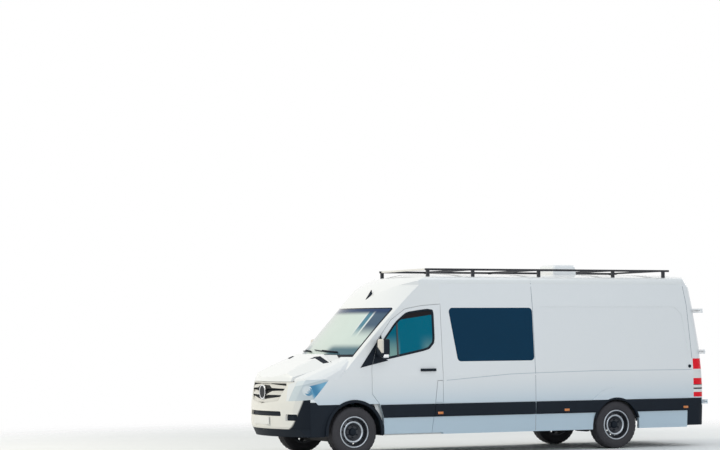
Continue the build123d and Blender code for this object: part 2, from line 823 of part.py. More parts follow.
def blade(z_top, z_low):
    """Blade that leans back with height and has a thin front lip."""
    section = (
        (nose_radius(z_top) - blade_top_depth, z_top),
        (nose_radius(z_low) - blade_edge_depth, z_low + blade_lip),
        (nose_radius(z_low) - blade_edge_depth, z_low),
        (nose_radius(z_low) - blade_back_depth, z_low),
        (nose_radius(z_top) - blade_back_depth, z_top),
    )
    axis_x = behind(nose_axis_back)
    with BuildPart() as ring:
        with BuildSketch(Plane.XZ):
            with BuildLine():
                Polyline(*[(axis_x + radius, z) for radius, z in section], close=True)
            make_face()
        revolve(axis=Axis((axis_x, 0, 0), (0, 0, 1)), revolution_arc=360)
    return ring.part


with BuildPart() as grille_blades:
    for z_top, z_low in blades:
        add(blade(z_top, z_low))
    add(end_prism(grille_front, reach_front, -500, grow=-8), mode=Mode.INTERSECT)
with BuildPart() as grille_disc:
    with BuildSketch(Plane.YZ.offset(behind(-930))):
        with Locations((0, badge_z)):
            Circle(badge_radius)
    extrude(amount=57)
    with BuildSketch(Plane.YZ.offset(behind(-983))):
        with Locations((0, badge_z)):
            Circle(badge_radius - 16)
    extrude(amount=10, mode=Mode.SUBTRACT)
with BuildPart() as grille:
    add(nose_shell(3, blade_back_depth - 4))
    add(end_prism(grille_front, reach_front, -500, grow=-seat_gap), mode=Mode.INTERSECT)
    add(end_prism(grille_front, reach_front, -500, grow=-12), mode=Mode.SUBTRACT)
    add(grille_blades.part)
    add(grille_disc.part)
    add(nose_block(blade_back_depth), mode=Mode.SUBTRACT)
save(grille.part, "grille")

# Black pieces of the front: corners, lip, slots, grille back, lamp bowls, cowl
with BuildPart() as bumper_corners:
    add(bumper_whole.part)
    add(bumper_low, mode=Mode.INTERSECT)
    add(across(reach_front, corner_split_back, reach_low, reach_high), mode=Mode.SUBTRACT)
    add(wheel_space(0, lining_outer + seat_gap, -lining_y, lining_y), mode=Mode.SUBTRACT)
with BuildPart() as bumper_lip:
    add(nose_shell(4, bumper_skin))
    add(across(reach_front, corner_split_back - 1, reach_low, lip_top_z), mode=Mode.INTERSECT)
with BuildPart() as slot_fillings:
    add(end_prism(lower_slot, reach_front, -500, grow=-seat_gap, rounding=20))
    add(both_sides(end_prism(fog_slot, reach_front, -500, grow=-seat_gap, rounding=15)))
with BuildPart() as slot_backs:
    add(nose_shell(32, 50))
    add(slot_fillings.part, mode=Mode.INTERSECT)
with BuildPart() as grille_back:
    add(nose_shell(blade_back_depth + seat_gap, bumper_skin - 2))
    add(end_prism(grille_front, reach_front, -500, grow=-seat_gap), mode=Mode.INTERSECT)
with BuildPart() as lamp_bowls:
    add(nose_shell(6 + seat_gap, 95))
    add(both_sides(lamp_space(-seat_gap)), mode=Mode.INTERSECT)
with BuildPart() as lamp_hollows:
    add(nose_shell(0, 85))
    add(both_sides(lamp_space(-8)), mode=Mode.INTERSECT)
with BuildPart() as cowl:
    add(nose_shell(12, 30))
    add(slab(hood_rear_back + door_gap, 0, -fender_inner_y + seat_gap, fender_inner_y - seat_gap,
             reach_low, reach_high), mode=Mode.INTERSECT)
    add(cab_block(-seat_gap), mode=Mode.SUBTRACT)
with BuildPart() as sail_foot:
    add(body_shell(0, 500, -6, -seat_gap))
    add(side_prism(sail, 0, reach_side), mode=Mode.INTERSECT)
    add(door_cut, mode=Mode.SUBTRACT)
with BuildPart() as front_trim:
    add(lamp_bowls.part)
    add(lamp_hollows.part, mode=Mode.SUBTRACT)
    add(bumper_corners.part)
    add(bumper_lip.part)
    add(slot_backs.part)
    add(grille_back.part)
    add(cowl.part)
    add(both_sides(sail_foot.part))
save(front_trim.part, "front_trim")

# Cab doors


def cab_door(outline):
    """Left cab door: outer skin, inner pan a step inside it, and the window opening."""
    with BuildPart() as pan:
        add(body_shell(0, pillar_b_back + 20, 0, door_thickness))
        add(side_prism(outline, 0, reach_side, grow=-pan_step), mode=Mode.INTERSECT)
    with BuildPart() as door:
        add(body_shell(0, pillar_b_back + 20, 0, door_skin))
        add(side_prism(outline, 0, reach_side), mode=Mode.INTERSECT)
        add(pan.part)
        add(window_cut, mode=Mode.SUBTRACT)
    return door.part


with BuildPart() as window_hole:
    add(side_prism(door_window, 0, reach_side, rounding=30))
    add(slab(*window_bar, 0, reach_side, reach_low, reach_high), mode=Mode.SUBTRACT)
window_cut = window_hole.part

door_left = cab_door(door_outline_left)
save(door_left, "door_left")
door_right = mirror(cab_door(door_outline), about=Plane.XZ)
save(door_right, "door_right")

with BuildPart() as door_glass_left:
    add(body_shell(0, pillar_b_back + 20, glass_depth + 5, glass_depth + 5 + glass))
    add(side_prism(door_window, 0, reach_side, grow=-seat_gap, rounding=30), mode=Mode.INTERSECT)
    add(slab(window_bar[0] - seat_gap, window_bar[1] + seat_gap, 0, reach_side, reach_low, reach_high),
        mode=Mode.SUBTRACT)
save(door_glass_left.part, "door_glass_left")
door_glass_right = mirror(door_glass_left.part, about=Plane.XZ)
save(door_glass_right, "door_glass_right")


def side_band(back_low, back_high):
    """Length of the black side band on the left, lying on the body."""
    with BuildPart() as band:
        add(end_prism(band_section, back_low, back_high))
        add(body_block(back_low - 10, back_high + 10, -seat_gap), mode=Mode.SUBTRACT)
    return band.part


def door_fittings(outline):
    """Left mirror, handle and side band of a cab door."""
    with BuildPart() as head:
        add(slab(325, 450, 1006, 1213, 1412, 1650))
        fillet(head.edges(), 28)
    with BuildPart() as arm:
        add(slab(350, 405, 930, 1030, 1400, 1448))
    with BuildPart() as handle:
        add(body_shell(1040, 1300, -26, -seat_gap))
        add(slab(1050, 1290, 900, reach_side, 1186, 1224), mode=Mode.INTERSECT)
    with BuildPart() as grip_space:
        add(body_shell(1080, 1260, -14, 1))
        add(slab(1080, 1260, 900, reach_side, 1180, 1230), mode=Mode.INTERSECT)
    with BuildPart() as band:
        add(side_band(nose_rear_back - 60, door_rear_back))
        add(side_prism(outline, 0, reach_side, grow=-1), mode=Mode.INTERSECT)
    with BuildPart() as sail_plate:
        add(body_shell(200, 600, -6, -seat_gap))
        add(side_prism(sail, 0, reach_side), mode=Mode.INTERSECT)
        add(side_prism(outline, 0, reach_side, grow=-1), mode=Mode.INTERSECT)
    with BuildPart() as fittings:
        add(head.part)
        add(arm.part)
        add(body_block(0, pillar_b_back, -seat_gap), mode=Mode.SUBTRACT)
        add(sail_plate.part)
        add(handle.part)
        add(grip_space.part, mode=Mode.SUBTRACT)
        add(band.part)
    return fittings.part


save(door_fittings(door_outline_left), "mirror_left")
save(mirror(door_fittings(door_outline), about=Plane.XZ), "mirror_right")

# Door frames behind the outer panels, with the seal that the closed door lies on

with BuildPart() as frame_hoop:
    add(body_shell(150, pillar_b_back + 60, wall + seat_gap, frame_depth))
    add(side_prism(door_outline, 0, reach_side, grow=60), mode=Mode.INTERSECT)
    add(side_prism(door_outline, 0, reach_side, grow=door_gap), mode=Mode.SUBTRACT)
with BuildPart() as frame_seal:
    add(body_shell(150, pillar_b_back + 60, door_thickness + seat_gap, frame_depth))
    add(side_prism(door_outline, 0, reach_side, grow=30), mode=Mode.INTERSECT)
    add(side_prism(door_outline, 0, reach_side, grow=-30), mode=Mode.SUBTRACT)
with BuildPart() as door_frame_whole:
    add(frame_hoop.part)
    add(frame_seal.part)
    add(wheel_space(0, lining_outer + seat_gap, -reach_side, reach_side), mode=Mode.SUBTRACT)
with BuildPart() as door_frame_upper:
    add(door_frame_whole.part)
    add(cab_block(skin + seat_gap), mode=Mode.INTERSECT)
with BuildPart() as door_frame:
    add(door_frame_whole.part)
    add(across(reach_front, pillar_b_back + 200, belt_z - 60, reach_high), mode=Mode.SUBTRACT)
    add(door_frame_upper.part)
door_frames = both_sides(door_frame.part)
save(door_frames, "door_frames")

# Rear doors with strap hinges

with BuildPart() as rear_door_pan:
    add(rear_shell(0, rear_door_thickness))
    add(end_prism(rear_door_outline, bumper_rear_back - 200, reach_back, grow=-pan_step),
        mode=Mode.INTERSECT)
with BuildPart() as rear_door_left:
    add(rear_shell(0, door_skin))
    add(end_prism(rear_door_outline, bumper_rear_back - 200, reach_back), mode=Mode.INTERSECT)
    add(rear_door_pan.part)
    add(end_prism(rear_window, bumper_rear_back - 200, reach_back, rounding=40), mode=Mode.SUBTRACT)
    add(door_straps.part)
save(rear_door_left.part, "rear_door_left")
rear_door_right = mirror(rear_door_left.part, about=Plane.XZ)
save(rear_door_right, "rear_door_right")

with BuildPart() as rear_glass_left:
    add(rear_shell(6, 6 + glass))
    add(end_prism(rear_window, bumper_rear_back - 200, reach_back, grow=-seat_gap, rounding=40),
        mode=Mode.INTERSECT)
save(rear_glass_left.part, "rear_glass_left")
rear_glass_right = mirror(rear_glass_left.part, about=Plane.XZ)
save(rear_glass_right, "rear_glass_right")

# Black pieces of the sides: bands, arch lips, wheel arch linings, sliding door rail and stops

with BuildPart() as flap_band_cut:
    add(side_prism(door_outline_left, 0, reach_side, grow=door_gap))
with BuildPart() as band_front_left:
    add(side_band(pillar_b_back - 200, 2928))
    add(flap_band_cut.part, mode=Mode.SUBTRACT)
band_front_right = mirror(side_band(1441, 2934), about=Plane.XZ)
arch_lip_radius = arch_rear_radius - 28
with BuildPart() as rear_bands:
    add(side_band(2944, bumper_rear_back - 1))
    add(wheel_space(rear_axle_back, arch_lip_radius, 0, reach_side), mode=Mode.SUBTRACT)
with BuildPart() as door_stop:
    add(cross_bar(tail_back - 303, 1204, side_y(1204) - 10, side_y(1204) + 8, 25))
    add(body_block(tail_back - 400, tail_back - 200, -seat_gap), mode=Mode.SUBTRACT)
with BuildPart() as side_marks:
    add(arch_ring(rear_axle_back, arch_lip_radius, arch_rear_radius - seat_gap, 940, 992, 450))
    add(arch_ring(0, arch_front_radius - 40, arch_front_radius - seat_gap, 951, 988, 300))
    add(arch_ring(0, lining_radius, lining_outer, 600, lining_y - 1, axle_z - 60))
    add(door_stop.part)
with BuildPart() as slide_rail:
    add(body_shell(2950, 4200, -5, -seat_gap))
    add(slab(2950, 4200, 900, reach_side, 1240, 1275), mode=Mode.INTERSECT)
with BuildPart() as left_trim:
    add(rear_bands.part)
    add(side_marks.part)
with BuildPart() as side_trim:
    add(both_sides(left_trim.part))
    add(band_front_left.part)
    add(band_front_right)
    add(mirror(slide_rail.part, about=Plane.XZ))
save(side_trim.part, "side_trim")

# Chassis and floor

with BuildPart() as chassis_frame:
    for y in (-rail_y, rail_y):
        add(slab(-700, rail_end_back, y - rail_half, y + rail_half, rail_low, rail_high))
    for back in (-600, 1300, 2300, 3300, 5000, rail_end_back - 50):
        add(slab(back - 40, back + 40, -rail_y, rail_y, rail_low + 20, rail_high - 20))
    for back in (1300, 2300, 3300, 5200):
        add(slab(back - 30, back + 30, -850, 850, rail_high - 20, floor_top - floor_plate))
save(chassis_frame.part, "chassis_frame")


def both_slabs(back_low, back_high, y_low, y_high, z_low, z_high):
    """Box on the left and its mirror image on the right."""
    return both_sides(slab(back_low, back_high, y_low, y_high, z_low, z_high))


wheelhouse_front = rear_axle_back - wheelhouse_half
wheelhouse_rear = rear_axle_back + wheelhouse_half
with BuildPart() as floor_plates:
    add(slab(20, pillar_b_back + 63, -862.7, 862.7, floor_top - floor_plate, floor_top))
    add(slab(pillar_b_back + 63, tail_back - 111, -inner_half, inner_half, floor_top - floor_plate,
             floor_top))
    add(slab(-20, 20, -500, 500, floor_top - floor_plate, 1250))
    add(both_slabs(wheelhouse_front - 15, wheelhouse_rear + 15, wheelhouse_y - 15, inner_half, 500, 770))
with BuildPart() as floor:
    add(floor_plates.part)
    add(both_slabs(wheelhouse_front, wheelhouse_rear, wheelhouse_y, reach_side, reach_low, 760),
        mode=Mode.SUBTRACT)
    add(both_slabs(-500, 470, 500, reach_side, reach_low, 900), mode=Mode.SUBTRACT)
    add(body_block(-100, tail_back, wall + seat_gap), mode=Mode.INTERSECT)
save(floor.part, "floor")

with BuildPart() as engine_block:
    add(slab(-600, -30, -280, 280, 545, 1080))
    add(slab(-40, 600, -110, 110, 370, 640))
save(engine_block.part, "engine_block")

# Wheels


def turned(points, origin, side):
    """Ring turned about a wheel's axle from a section of offset and radius."""
    with BuildPart() as ring:
        with BuildSketch(Plane(origin=origin, x_dir=(0, side, 0), z_dir=(side, 0, 0))):
            with BuildLine():
                Polyline(*points, close=True)
            make_face()
        revolve(axis=Axis(origin, (0, 1, 0)), revolution_arc=360)
    return ring.part


bead_half = 92
tyre_half = tyre_width / 2
tyre_section = (
    (-bead_half, rim_radius + seat_gap), (-94, 225), (-tyre_half, 275), (-107, 330), (-88, tyre_radius),
    (88, tyre_radius), (107, 330), (tyre_half, 275), (94, 225), (bead_half, rim_radius + seat_gap),
)
rim_section = (
    (-103, rim_radius), (-103, rim_flange_radius), (-97, rim_flange_radius), (-95.5, rim_radius),
    (95.5, rim_radius), (98, rim_flange_radius), (104, rim_flange_radius),
    (100, 194), (60, 190), (75, 140), (68, 125), (35, 90), (35, hub_bore),
    (27, hub_bore), (27, 95), (60, 130), (66, 145), (50, 182), (-98, 194),
)
hand_holes = 12
hand_hole_ring = 163
hand_hole_radius = 13

for back, end in ((0, "front"), (rear_axle_back, "rear")):
    for side, side_name in ((1, "left"), (-1, "right")):
        centre = Vector(behind(back), side * half_track, axle_z)
        save(turned(tyre_section, centre, side), f"tyre_{end}_{side_name}")
        with BuildPart() as rim:
            add(turned(rim_section, centre, side))
            with BuildSketch(Plane(origin=centre, x_dir=(1, 0, 0), z_dir=(0, side, 0))):
                with PolarLocations(hand_hole_ring, hand_holes):
                    Circle(hand_hole_radius)
            extrude(amount=120, mode=Mode.SUBTRACT)
        save(rim.part, f"rim_{end}_{side_name}")

# Steering knuckles, suspension and rear axle

stub_inner = king_y - 25
for side, side_name in ((1, "left"), (-1, "right")):
    with BuildPart() as knuckle_half:
        add(post(0, king_y, 215, 495, 26))
        add(post(0, king_y, 190, 520, 12))
        add(cross_bar(0, axle_z, stub_inner, half_track + 26.7, 62))
        add(cross_bar(0, axle_z, king_y - 15, king_y + 10, 130))
        add(cross_bar(0, axle_z, stub_inner, half_track + 60, hub_bore - hub_fit))
    if side > 0:
        save(knuckle_half.part, "knuckle_left")
    else:
        save(mirror(knuckle_half.part, about=Plane.XZ), "knuckle_right")

with BuildPart() as suspension_arms:
    add(slab(-30, 30, 350, king_y + 30, 192, 214.7))
    add(slab(-30, 30, rail_y + rail_half, king_y + 30, 495.3, 520))
    add(slab(-60, 60, 340, 380, 192, rail_low))
    add(slab(-60, 60, 340, 440, rail_low - 60, rail_low))
    add(post(0, king_y - 170, 520, arch_front_radius + axle_z - 1, 36))
    add(post(0, king_y, reach_low, 600, 12.05), mode=Mode.SUBTRACT)
with BuildPart() as front_suspension:
    add(both_sides(suspension_arms.part))
    add(slab(-60, 60, -380, 380, 192, 300))
save(front_suspension.part, "front_suspension")

with BuildPart() as leaf_spring:
    add(slab(rear_axle_back - 650, rear_axle_back + 650, rail_y - 30, rail_y + 30, 400, 415))
    add(slab(rear_axle_back - 420, rear_axle_back + 420, rail_y - 30, rail_y + 30, 388, 400))
    add(slab(rear_axle_back - 650, rear_axle_back - 610, rail_y - 30, rail_y + 30, 415, rail_low))
    add(slab(rear_axle_back + 610, rear_axle_back + 650, rail_y - 30, rail_y + 30, 415, rail_low))
    add(slab(rear_axle_back - 60, rear_axle_back + 60, rail_y - 30, rail_y + 30, 370, 415))
with BuildPart() as rear_axle:
    add(cross_bar(rear_axle_back, axle_z, -half_track - 60, half_track + 60, hub_bore - hub_fit))
    add(cross_bar(rear_axle_back, axle_z, -half_track - 26.7, half_track + 26.7, 62))
    add(cross_bar(rear_axle_back, axle_z, -130, 130, 130))
    add(slab(rear_axle_back - 150, rear_axle_back, -40, 40, 370, 450))
    add(both_sides(leaf_spring.part))
save(rear_axle.part, "rear_axle")

# Propeller shaft, exhaust and fuel tank

with BuildPart() as underbody:
    add(long_bar(0, 410, 600, rear_axle_back - 150, 30))
    add(slab(700, 1500, rail_y + rail_half, 800, 330, 515))
    add(long_bar(-300, 400, 620, 3650, 26))
    add(long_bar(-300, 385, 2450, 3150, 62))
    for back in (1300, 2300, 3300):
        add(slab(back - 15, back + 15, -306, -294, 400, rail_low + 20 - seat_gap))
save(underbody.part, "underbody")

# Rear bumper

with BuildPart() as bumper_rear:
    add(body_block(bumper_rear_back + seat_gap, tail_back, 0))
    add(across(bumper_rear_back, tail_back, 315, bumper_rear_top - seat_gap), mode=Mode.INTERSECT)
    add(slab(bumper_rear_back, tail_back - 60, -918, 918, reach_low, floor_top - floor_plate - seat_gap),
        mode=Mode.SUBTRACT)
    add(slab(bumper_rear_back, tail_back - 101, -918, 918, reach_low, 800), mode=Mode.SUBTRACT)
    add(across(bumper_step_back - seat_gap, reach_back, bumper_step_top - seat_gap, 800), mode=Mode.SUBTRACT)
    add(rear_opening.part, mode=Mode.SUBTRACT)
    add(both_sides(rear_corner_cuts(0)), mode=Mode.SUBTRACT)
    add(slab(tail_back - 60, tail_back, -820, 820, 315, 560))
save(bumper_rear.part, "bumper_rear")

# Roof rack, vent and lid

with BuildPart() as rack_side:
    for back in rack_bars:
        add(slab(back - 22, back + 22, rack_y - 18, rack_y + 18, rack_foot_low, rack_rail_low))
    add(body_block(1000, tail_back, -seat_gap), mode=Mode.SUBTRACT)
    add(slab(rack_bars[0] - 40, tail_back - 500, rack_y - 15, rack_y + 15, rack_rail_low, rack_rail_top))
with BuildPart() as roof_rack:
    add(both_sides(rack_side.part))
    for back in rack_bars:
        add(slab(back - 20, back + 20, -rack_y, rack_y, rack_bar_low, rack_rail_top))
save(roof_rack.part, "roof_rack")

vent_edge = vent_half - seat_gap
with BuildPart() as roof_vent:
    add(slab(vent_back - vent_edge, vent_back + vent_edge, -vent_edge, vent_edge, vent_top - 110, vent_top))
    add(slab(vent_back - 170, vent_back + 170, -170, 170, vent_top - 120, vent_top + 1), mode=Mode.SUBTRACT)
save(roof_vent.part, "roof_vent")
with BuildPart() as vent_lid:
    add(slab(vent_back - 210, vent_back + 210, -210, 210, vent_top + seat_gap, vent_top + 88))
    fillet(vent_lid.edges().filter_by(Axis.Z), 60)
    fillet(vent_lid.edges().group_by(Axis.Z)[-1], 56)
save(vent_lid.part, "vent_lid")

# Cab interior

wheel_middle = (behind(490), 430, 1290)
dash_side = ((20.3, 1050), (20.3, 1300), (150, 1325), (330, 1280), (385, 1190), (360, 1050))
with BuildPart() as steering_wheel:
    with Locations(Plane(origin=wheel_middle, x_dir=(0, 1, 0), z_dir=(-0.6, 0, 0.8))):
        Torus(185, 14)
        Cylinder(42, 40)
        Box(360, 34, 14)
        with Locations((0, 0, -110)):
            Cylinder(26, 200)
with BuildPart() as dashboard:
    add(side_prism(dash_side, -800, 800))
    add(steering_wheel.part)
save(dashboard.part, "dashboard")

seat_half = 240
cushion_side = ((680, 900), (690, 1070), (1180, 1040), (1200, 900))
backrest_side = ((1100, 960), (1235, 960), (1372, 1690), (1262, 1725))
headrest_side = ((1268, 1660), (1368, 1640), (1400, 1890), (1310, 1905))
with BuildPart() as front_seats:
    for y in (430, -430):
        add(slab(760, 1180, y - 200, y + 200, floor_top + seat_gap, 920))
        add(side_prism(cushion_side, y - seat_half, y + seat_half, rounding=40))
        add(side_prism(backrest_side, y - seat_half, y + seat_half, rounding=40))
        add(side_prism(headrest_side, y - 140, y + 140, rounding=30))
save(front_seats.part, "front_seats")
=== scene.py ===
import json
import math

import bmesh
import bpy
from mathutils import Matrix, Vector
from mathutils.bvhtree import BVHTree


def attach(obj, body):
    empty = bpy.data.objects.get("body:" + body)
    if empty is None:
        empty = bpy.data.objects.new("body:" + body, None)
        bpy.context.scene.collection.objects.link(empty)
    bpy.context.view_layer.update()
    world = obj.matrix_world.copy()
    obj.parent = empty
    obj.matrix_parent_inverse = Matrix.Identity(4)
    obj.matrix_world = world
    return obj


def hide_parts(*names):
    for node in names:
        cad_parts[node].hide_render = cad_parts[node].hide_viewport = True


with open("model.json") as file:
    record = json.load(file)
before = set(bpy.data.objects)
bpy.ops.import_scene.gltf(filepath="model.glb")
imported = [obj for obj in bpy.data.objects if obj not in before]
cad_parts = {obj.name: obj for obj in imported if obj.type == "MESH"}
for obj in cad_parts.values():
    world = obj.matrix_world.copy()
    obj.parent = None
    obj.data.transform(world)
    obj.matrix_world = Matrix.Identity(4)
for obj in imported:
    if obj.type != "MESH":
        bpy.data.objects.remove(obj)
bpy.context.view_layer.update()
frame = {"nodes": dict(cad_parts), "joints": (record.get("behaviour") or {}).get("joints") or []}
nodes = frame["nodes"]

# Wheel places in metres, from the joints that the wheels roll on
joint_places = {joint["name"]: joint["pos_m"] for joint in frame["joints"]}
FRONT_AXLE_X, HALF_TRACK, AXLE_Z = joint_places["roll_front_left"]
REAR_AXLE_BACK = FRONT_AXLE_X - joint_places["roll_rear_left"][0]
WHEELS = {
    "front_left": (0.0, 1),
    "front_right": (0.0, -1),
    "rear_left": (REAR_AXLE_BACK, 1),
    "rear_right": (REAR_AXLE_BACK, -1),
}
SIDES = ((1, "left"), (-1, "right"))

# A distance from the origin that nothing on the vehicle reaches
FAR = 5


def place(back, y, z):
    """Point given by its distance behind the front axle."""
    return Vector((FRONT_AXLE_X - back, y, z))


def x_limits(front, rear):
    """Limits of X between two distances behind the front axle."""
    return FRONT_AXLE_X - rear, FRONT_AXLE_X - front


# Material nodes


def links(owner):
    """Nodes and links of a material or a world."""
    return owner.node_tree.nodes, owner.node_tree.links


def feed(owner, target, value):
    """Give an input a socket to read, or a plain value."""
    if isinstance(value, bpy.types.NodeSocket):
        links(owner)[1].new(value, target)
    else:
        target.default_value = value


def fed_now(target):
    """What an input reads now: a socket or a plain value."""
    return target.links[0].from_socket if target.links else target.default_value


def math_node(owner, kind, operation, values):
    """Math node whose inputs are given as sockets or plain values."""
    node = links(owner)[0].new(kind)
    node.operation = operation
    for target, value in zip(node.inputs, values):
        feed(owner, target, value)
    return node


def number(owner, operation, *values):
    """Result of a math node."""
    return math_node(owner, "ShaderNodeMath", operation, values).outputs[0]


def vector(owner, operation, *values):
    """Vector that a vector math node gives."""
    return math_node(owner, "ShaderNodeVectorMath", operation, values).outputs["Vector"]


def measure(owner, operation, *values):
    """Single value, such as a length, that a vector math node gives."""
    return math_node(owner, "ShaderNodeVectorMath", operation, values).outputs["Value"]


def object_point(owner):
    """Socket with the point in the object's own space."""
    return links(owner)[0].new("ShaderNodeTexCoord").outputs["Object"]


def mix_shader(owner, factor, first, second):
    """Node that mixes two shaders."""
    tree, wire = links(owner)
    node = tree.new("ShaderNodeMixShader")
    feed(owner, node.inputs["Fac"], factor)
    wire.new(first, node.inputs[1])
    wire.new(second, node.inputs[2])
    return node


# Masks: sockets that are 1 where another colour shows


def along(material, x=0.0, y=0.0, z=0.0):
    """Socket with a weighted sum of the object's X, size of Y, and Z."""
    point = object_point(material)
    size_y = vector(material, "MULTIPLY", vector(material, "ABSOLUTE", point), (0, 1, 0))
    rest = vector(material, "MULTIPLY", point, (1, 0, 1))
    return measure(material, "DOT_PRODUCT", vector(material, "ADD", size_y, rest), (x, y, z))


def combine(owner, *masks, operation="MULTIPLY"):
    """Masks joined by a math operation."""
    result = masks[0]
    for mask in masks[1:]:
        result = number(owner, operation, result, mask)
    return result


def fade(material, value, start, stop, most=1.0):
    """Mask that rises smoothly from 0 at `start` to `most` at `stop`."""
    ramp = links(material)[0].new("ShaderNodeMapRange")
    ramp.interpolation_type = "SMOOTHSTEP"
    feed(material, ramp.inputs["Value"], value)
    feed(material, ramp.inputs["From Min"], start)
    feed(material, ramp.inputs["From Max"], stop)
    feed(material, ramp.inputs["To Max"], most)
    return ramp.outputs["Result"]


def between(material, value, low, high):
    """Mask that is 1 between two values."""
    return combine(material, number(material, "GREATER_THAN", value, low),
                   number(material, "LESS_THAN", value, high))


def inside(material, **limits):
    """Mask that is 1 between the limits given for x, y or z, where y is the size of Y."""
    masks = [between(material, along(material, **{axis: 1}), *pair) for axis, pair in limits.items()]
    return combine(material, *masks)


def distance_to(material, centre):
    """Socket with the distance to a point on the left side, the same on the right side."""
    mirrored = vector(material, "ABSOLUTE", object_point(material))
    return measure(material, "LENGTH", vector(material, "SUBTRACT", mirrored, centre))


# Kinds of surface

NOISE_DETAIL = 3.0
LEAST_ROUGHNESS = 0.02
COAT_ROUGHNESS = 0.04
BUMP_FINENESS = 40
BUMP_DISTANCE = 0.001


def surface(name, dark, light, scale, rough, spread=0.08, metallic=0.0, bump=0.0, coat=0.0, shine=0.5):
    """Material whose colour and roughness vary with noise, with an optional fine bump."""
    material = bpy.data.materials.new(name)
    material.use_nodes = True
    tree, wire = links(material)
    shader = tree["Principled BSDF"]
    point = object_point(material)
    noise = tree.new("ShaderNodeTexNoise")
    noise.inputs["Scale"].default_value = scale
    noise.inputs["Detail"].default_value = NOISE_DETAIL
    mix = tree.new("ShaderNodeMix")
    mix.data_type = "RGBA"
    mix.inputs["A"].default_value = (*dark, 1)
    mix.inputs["B"].default_value = (*light, 1)
    ramp = tree.new("ShaderNodeMapRange")
    ramp.inputs["To Min"].default_value = max(rough - spread, LEAST_ROUGHNESS)
    ramp.inputs["To Max"].default_value = min(rough + spread, 1.0)
    wire.new(point, noise.inputs["Vector"])
    wire.new(noise.outputs["Fac"], mix.inputs["Factor"])
    wire.new(noise.outputs["Fac"], ramp.inputs["Value"])
    wire.new(mix.outputs["Result"], shader.inputs["Base Color"])
    wire.new(ramp.outputs["Result"], shader.inputs["Roughness"])
    shader.inputs["Metallic"].default_value = metallic
    shader.inputs["Specular IOR Level"].default_value = shine
    shader.inputs["Coat Weight"].default_value = coat
    shader.inputs["Coat Roughness"].default_value = COAT_ROUGHNESS
    if bump:
        fine = tree.new("ShaderNodeTexNoise")
        fine.inputs["Scale"].default_value = scale * BUMP_FINENESS
        relief = tree.new("ShaderNodeBump")
        relief.inputs["Strength"].default_value = bump
        relief.inputs["Distance"].default_value = BUMP_DISTANCE
        wire.new(point, fine.inputs["Vector"])
        wire.new(fine.outputs["Fac"], relief.inputs["Height"])
        wire.new(relief.outputs["Normal"], shader.inputs["Normal"])
    return material


def recolour(material, mask, colour, rough=None, metallic=None):
    """Blend another colour into a material where the mask is 1."""
    tree, wire = links(material)
    shader = tree["Principled BSDF"]
    for socket, value in (("Base Color", (*colour, 1)), ("Roughness", rough), ("Metallic", metallic)):
        if value is None:
            continue
        target = shader.inputs[socket]
        mix = tree.new("ShaderNodeMix")
        mix.data_type = "RGBA" if socket == "Base Color" else "FLOAT"
        feed(material, mix.inputs["Factor"], mask)
        feed(material, mix.inputs["A"], fed_now(target))
        feed(material, mix.inputs["B"], value)
        wire.new(mix.outputs["Result"], target)


GLASS_DARKEST = 0.85
GLASS_SKIN_ROUGHNESS = 0.02


def window(name, tint, body, cover, mirror_index):
    """Tinted glass: a clear tint mixed with a coloured body, under a mirror-like skin."""
    darker = [channel * GLASS_DARKEST for channel in body]
    material = surface(name, darker, body, scale=1.5, rough=0.06, spread=0.03, shine=0.05)
    tree, wire = links(material)
    clear = tree.new("ShaderNodeBsdfTransparent")
    clear.inputs["Color"].default_value = (*tint, 1)
    skin = tree.new("ShaderNodeBsdfGlossy")
    skin.inputs["Roughness"].default_value = GLASS_SKIN_ROUGHNESS
    edge = tree.new("ShaderNodeFresnel")
    edge.inputs["IOR"].default_value = mirror_index
    blend = mix_shader(material, cover, clear.outputs[0], tree["Principled BSDF"].outputs[0])
    blend.name = "Cover"
    top = mix_shader(material, edge.outputs[0], blend.outputs[0], skin.outputs[0])
    wire.new(top.outputs[0], tree["Material Output"].inputs["Surface"])
    return material


def cover_where(material, mask):
    """Make the window opaque where the mask is 1, as under a printed border."""
    target = links(material)[0]["Cover"].inputs["Fac"]
    feed(material, target, number(material, "MAXIMUM", mask, fed_now(target)))


# Plain materials

BLACK = (0.006, 0.010, 0.017)
PALE_BLACK = (0.011, 0.017, 0.026)
paint = surface("white_paint", (0.836, 0.839, 0.832), (0.842, 0.844, 0.836), 0.7, 0.28, 0.01, coat=0.6)
black = surface("black_plastic", BLACK, PALE_BLACK, 6, 0.6, 0.08, bump=0.3, shine=0.16)
chassis = surface("chassis_paint", (0.02, 0.02, 0.022), (0.05, 0.05, 0.052), 5, 0.6, 0.1)
iron = surface("hub_iron", (0.03, 0.03, 0.03), (0.09, 0.085, 0.08), 14, 0.6, 0.1, metallic=0.6, bump=0.3)
bright = surface("bright_metal", (0.42, 0.46, 0.51), (0.58, 0.62, 0.67), 9, 0.30, 0.06, metallic=0.7)
rubber = surface("tyre_rubber", (0.020, 0.019, 0.024), (0.042, 0.040, 0.046), 10, 0.75, 0.08, bump=0.4)
wheel_paint = surface("wheel_paint", (0.022, 0.025, 0.032), (0.05, 0.054, 0.065), 8, 0.36, metallic=0.4)
cabin = surface("cabin_plastic", (0.03, 0.04, 0.05), (0.06, 0.075, 0.09), 6, 0.6, 0.1, bump=0.3)
cloth = surface("seat_cloth", (0.035, 0.045, 0.06), (0.07, 0.085, 0.105), 30, 0.9, 0.05, bump=0.8)
vent_white = surface("vent_plastic", (0.82, 0.83, 0.84), (0.90, 0.90, 0.90), 3, 0.35, 0.06)
floor_coat = surface("floor_coat", (0.14, 0.14, 0.14), (0.24, 0.24, 0.235), 5, 0.7, 0.1)
steel = surface("bare_steel", (0.18, 0.17, 0.16), (0.34, 0.33, 0.32), 8, 0.45, 0.12, metallic=0.9)
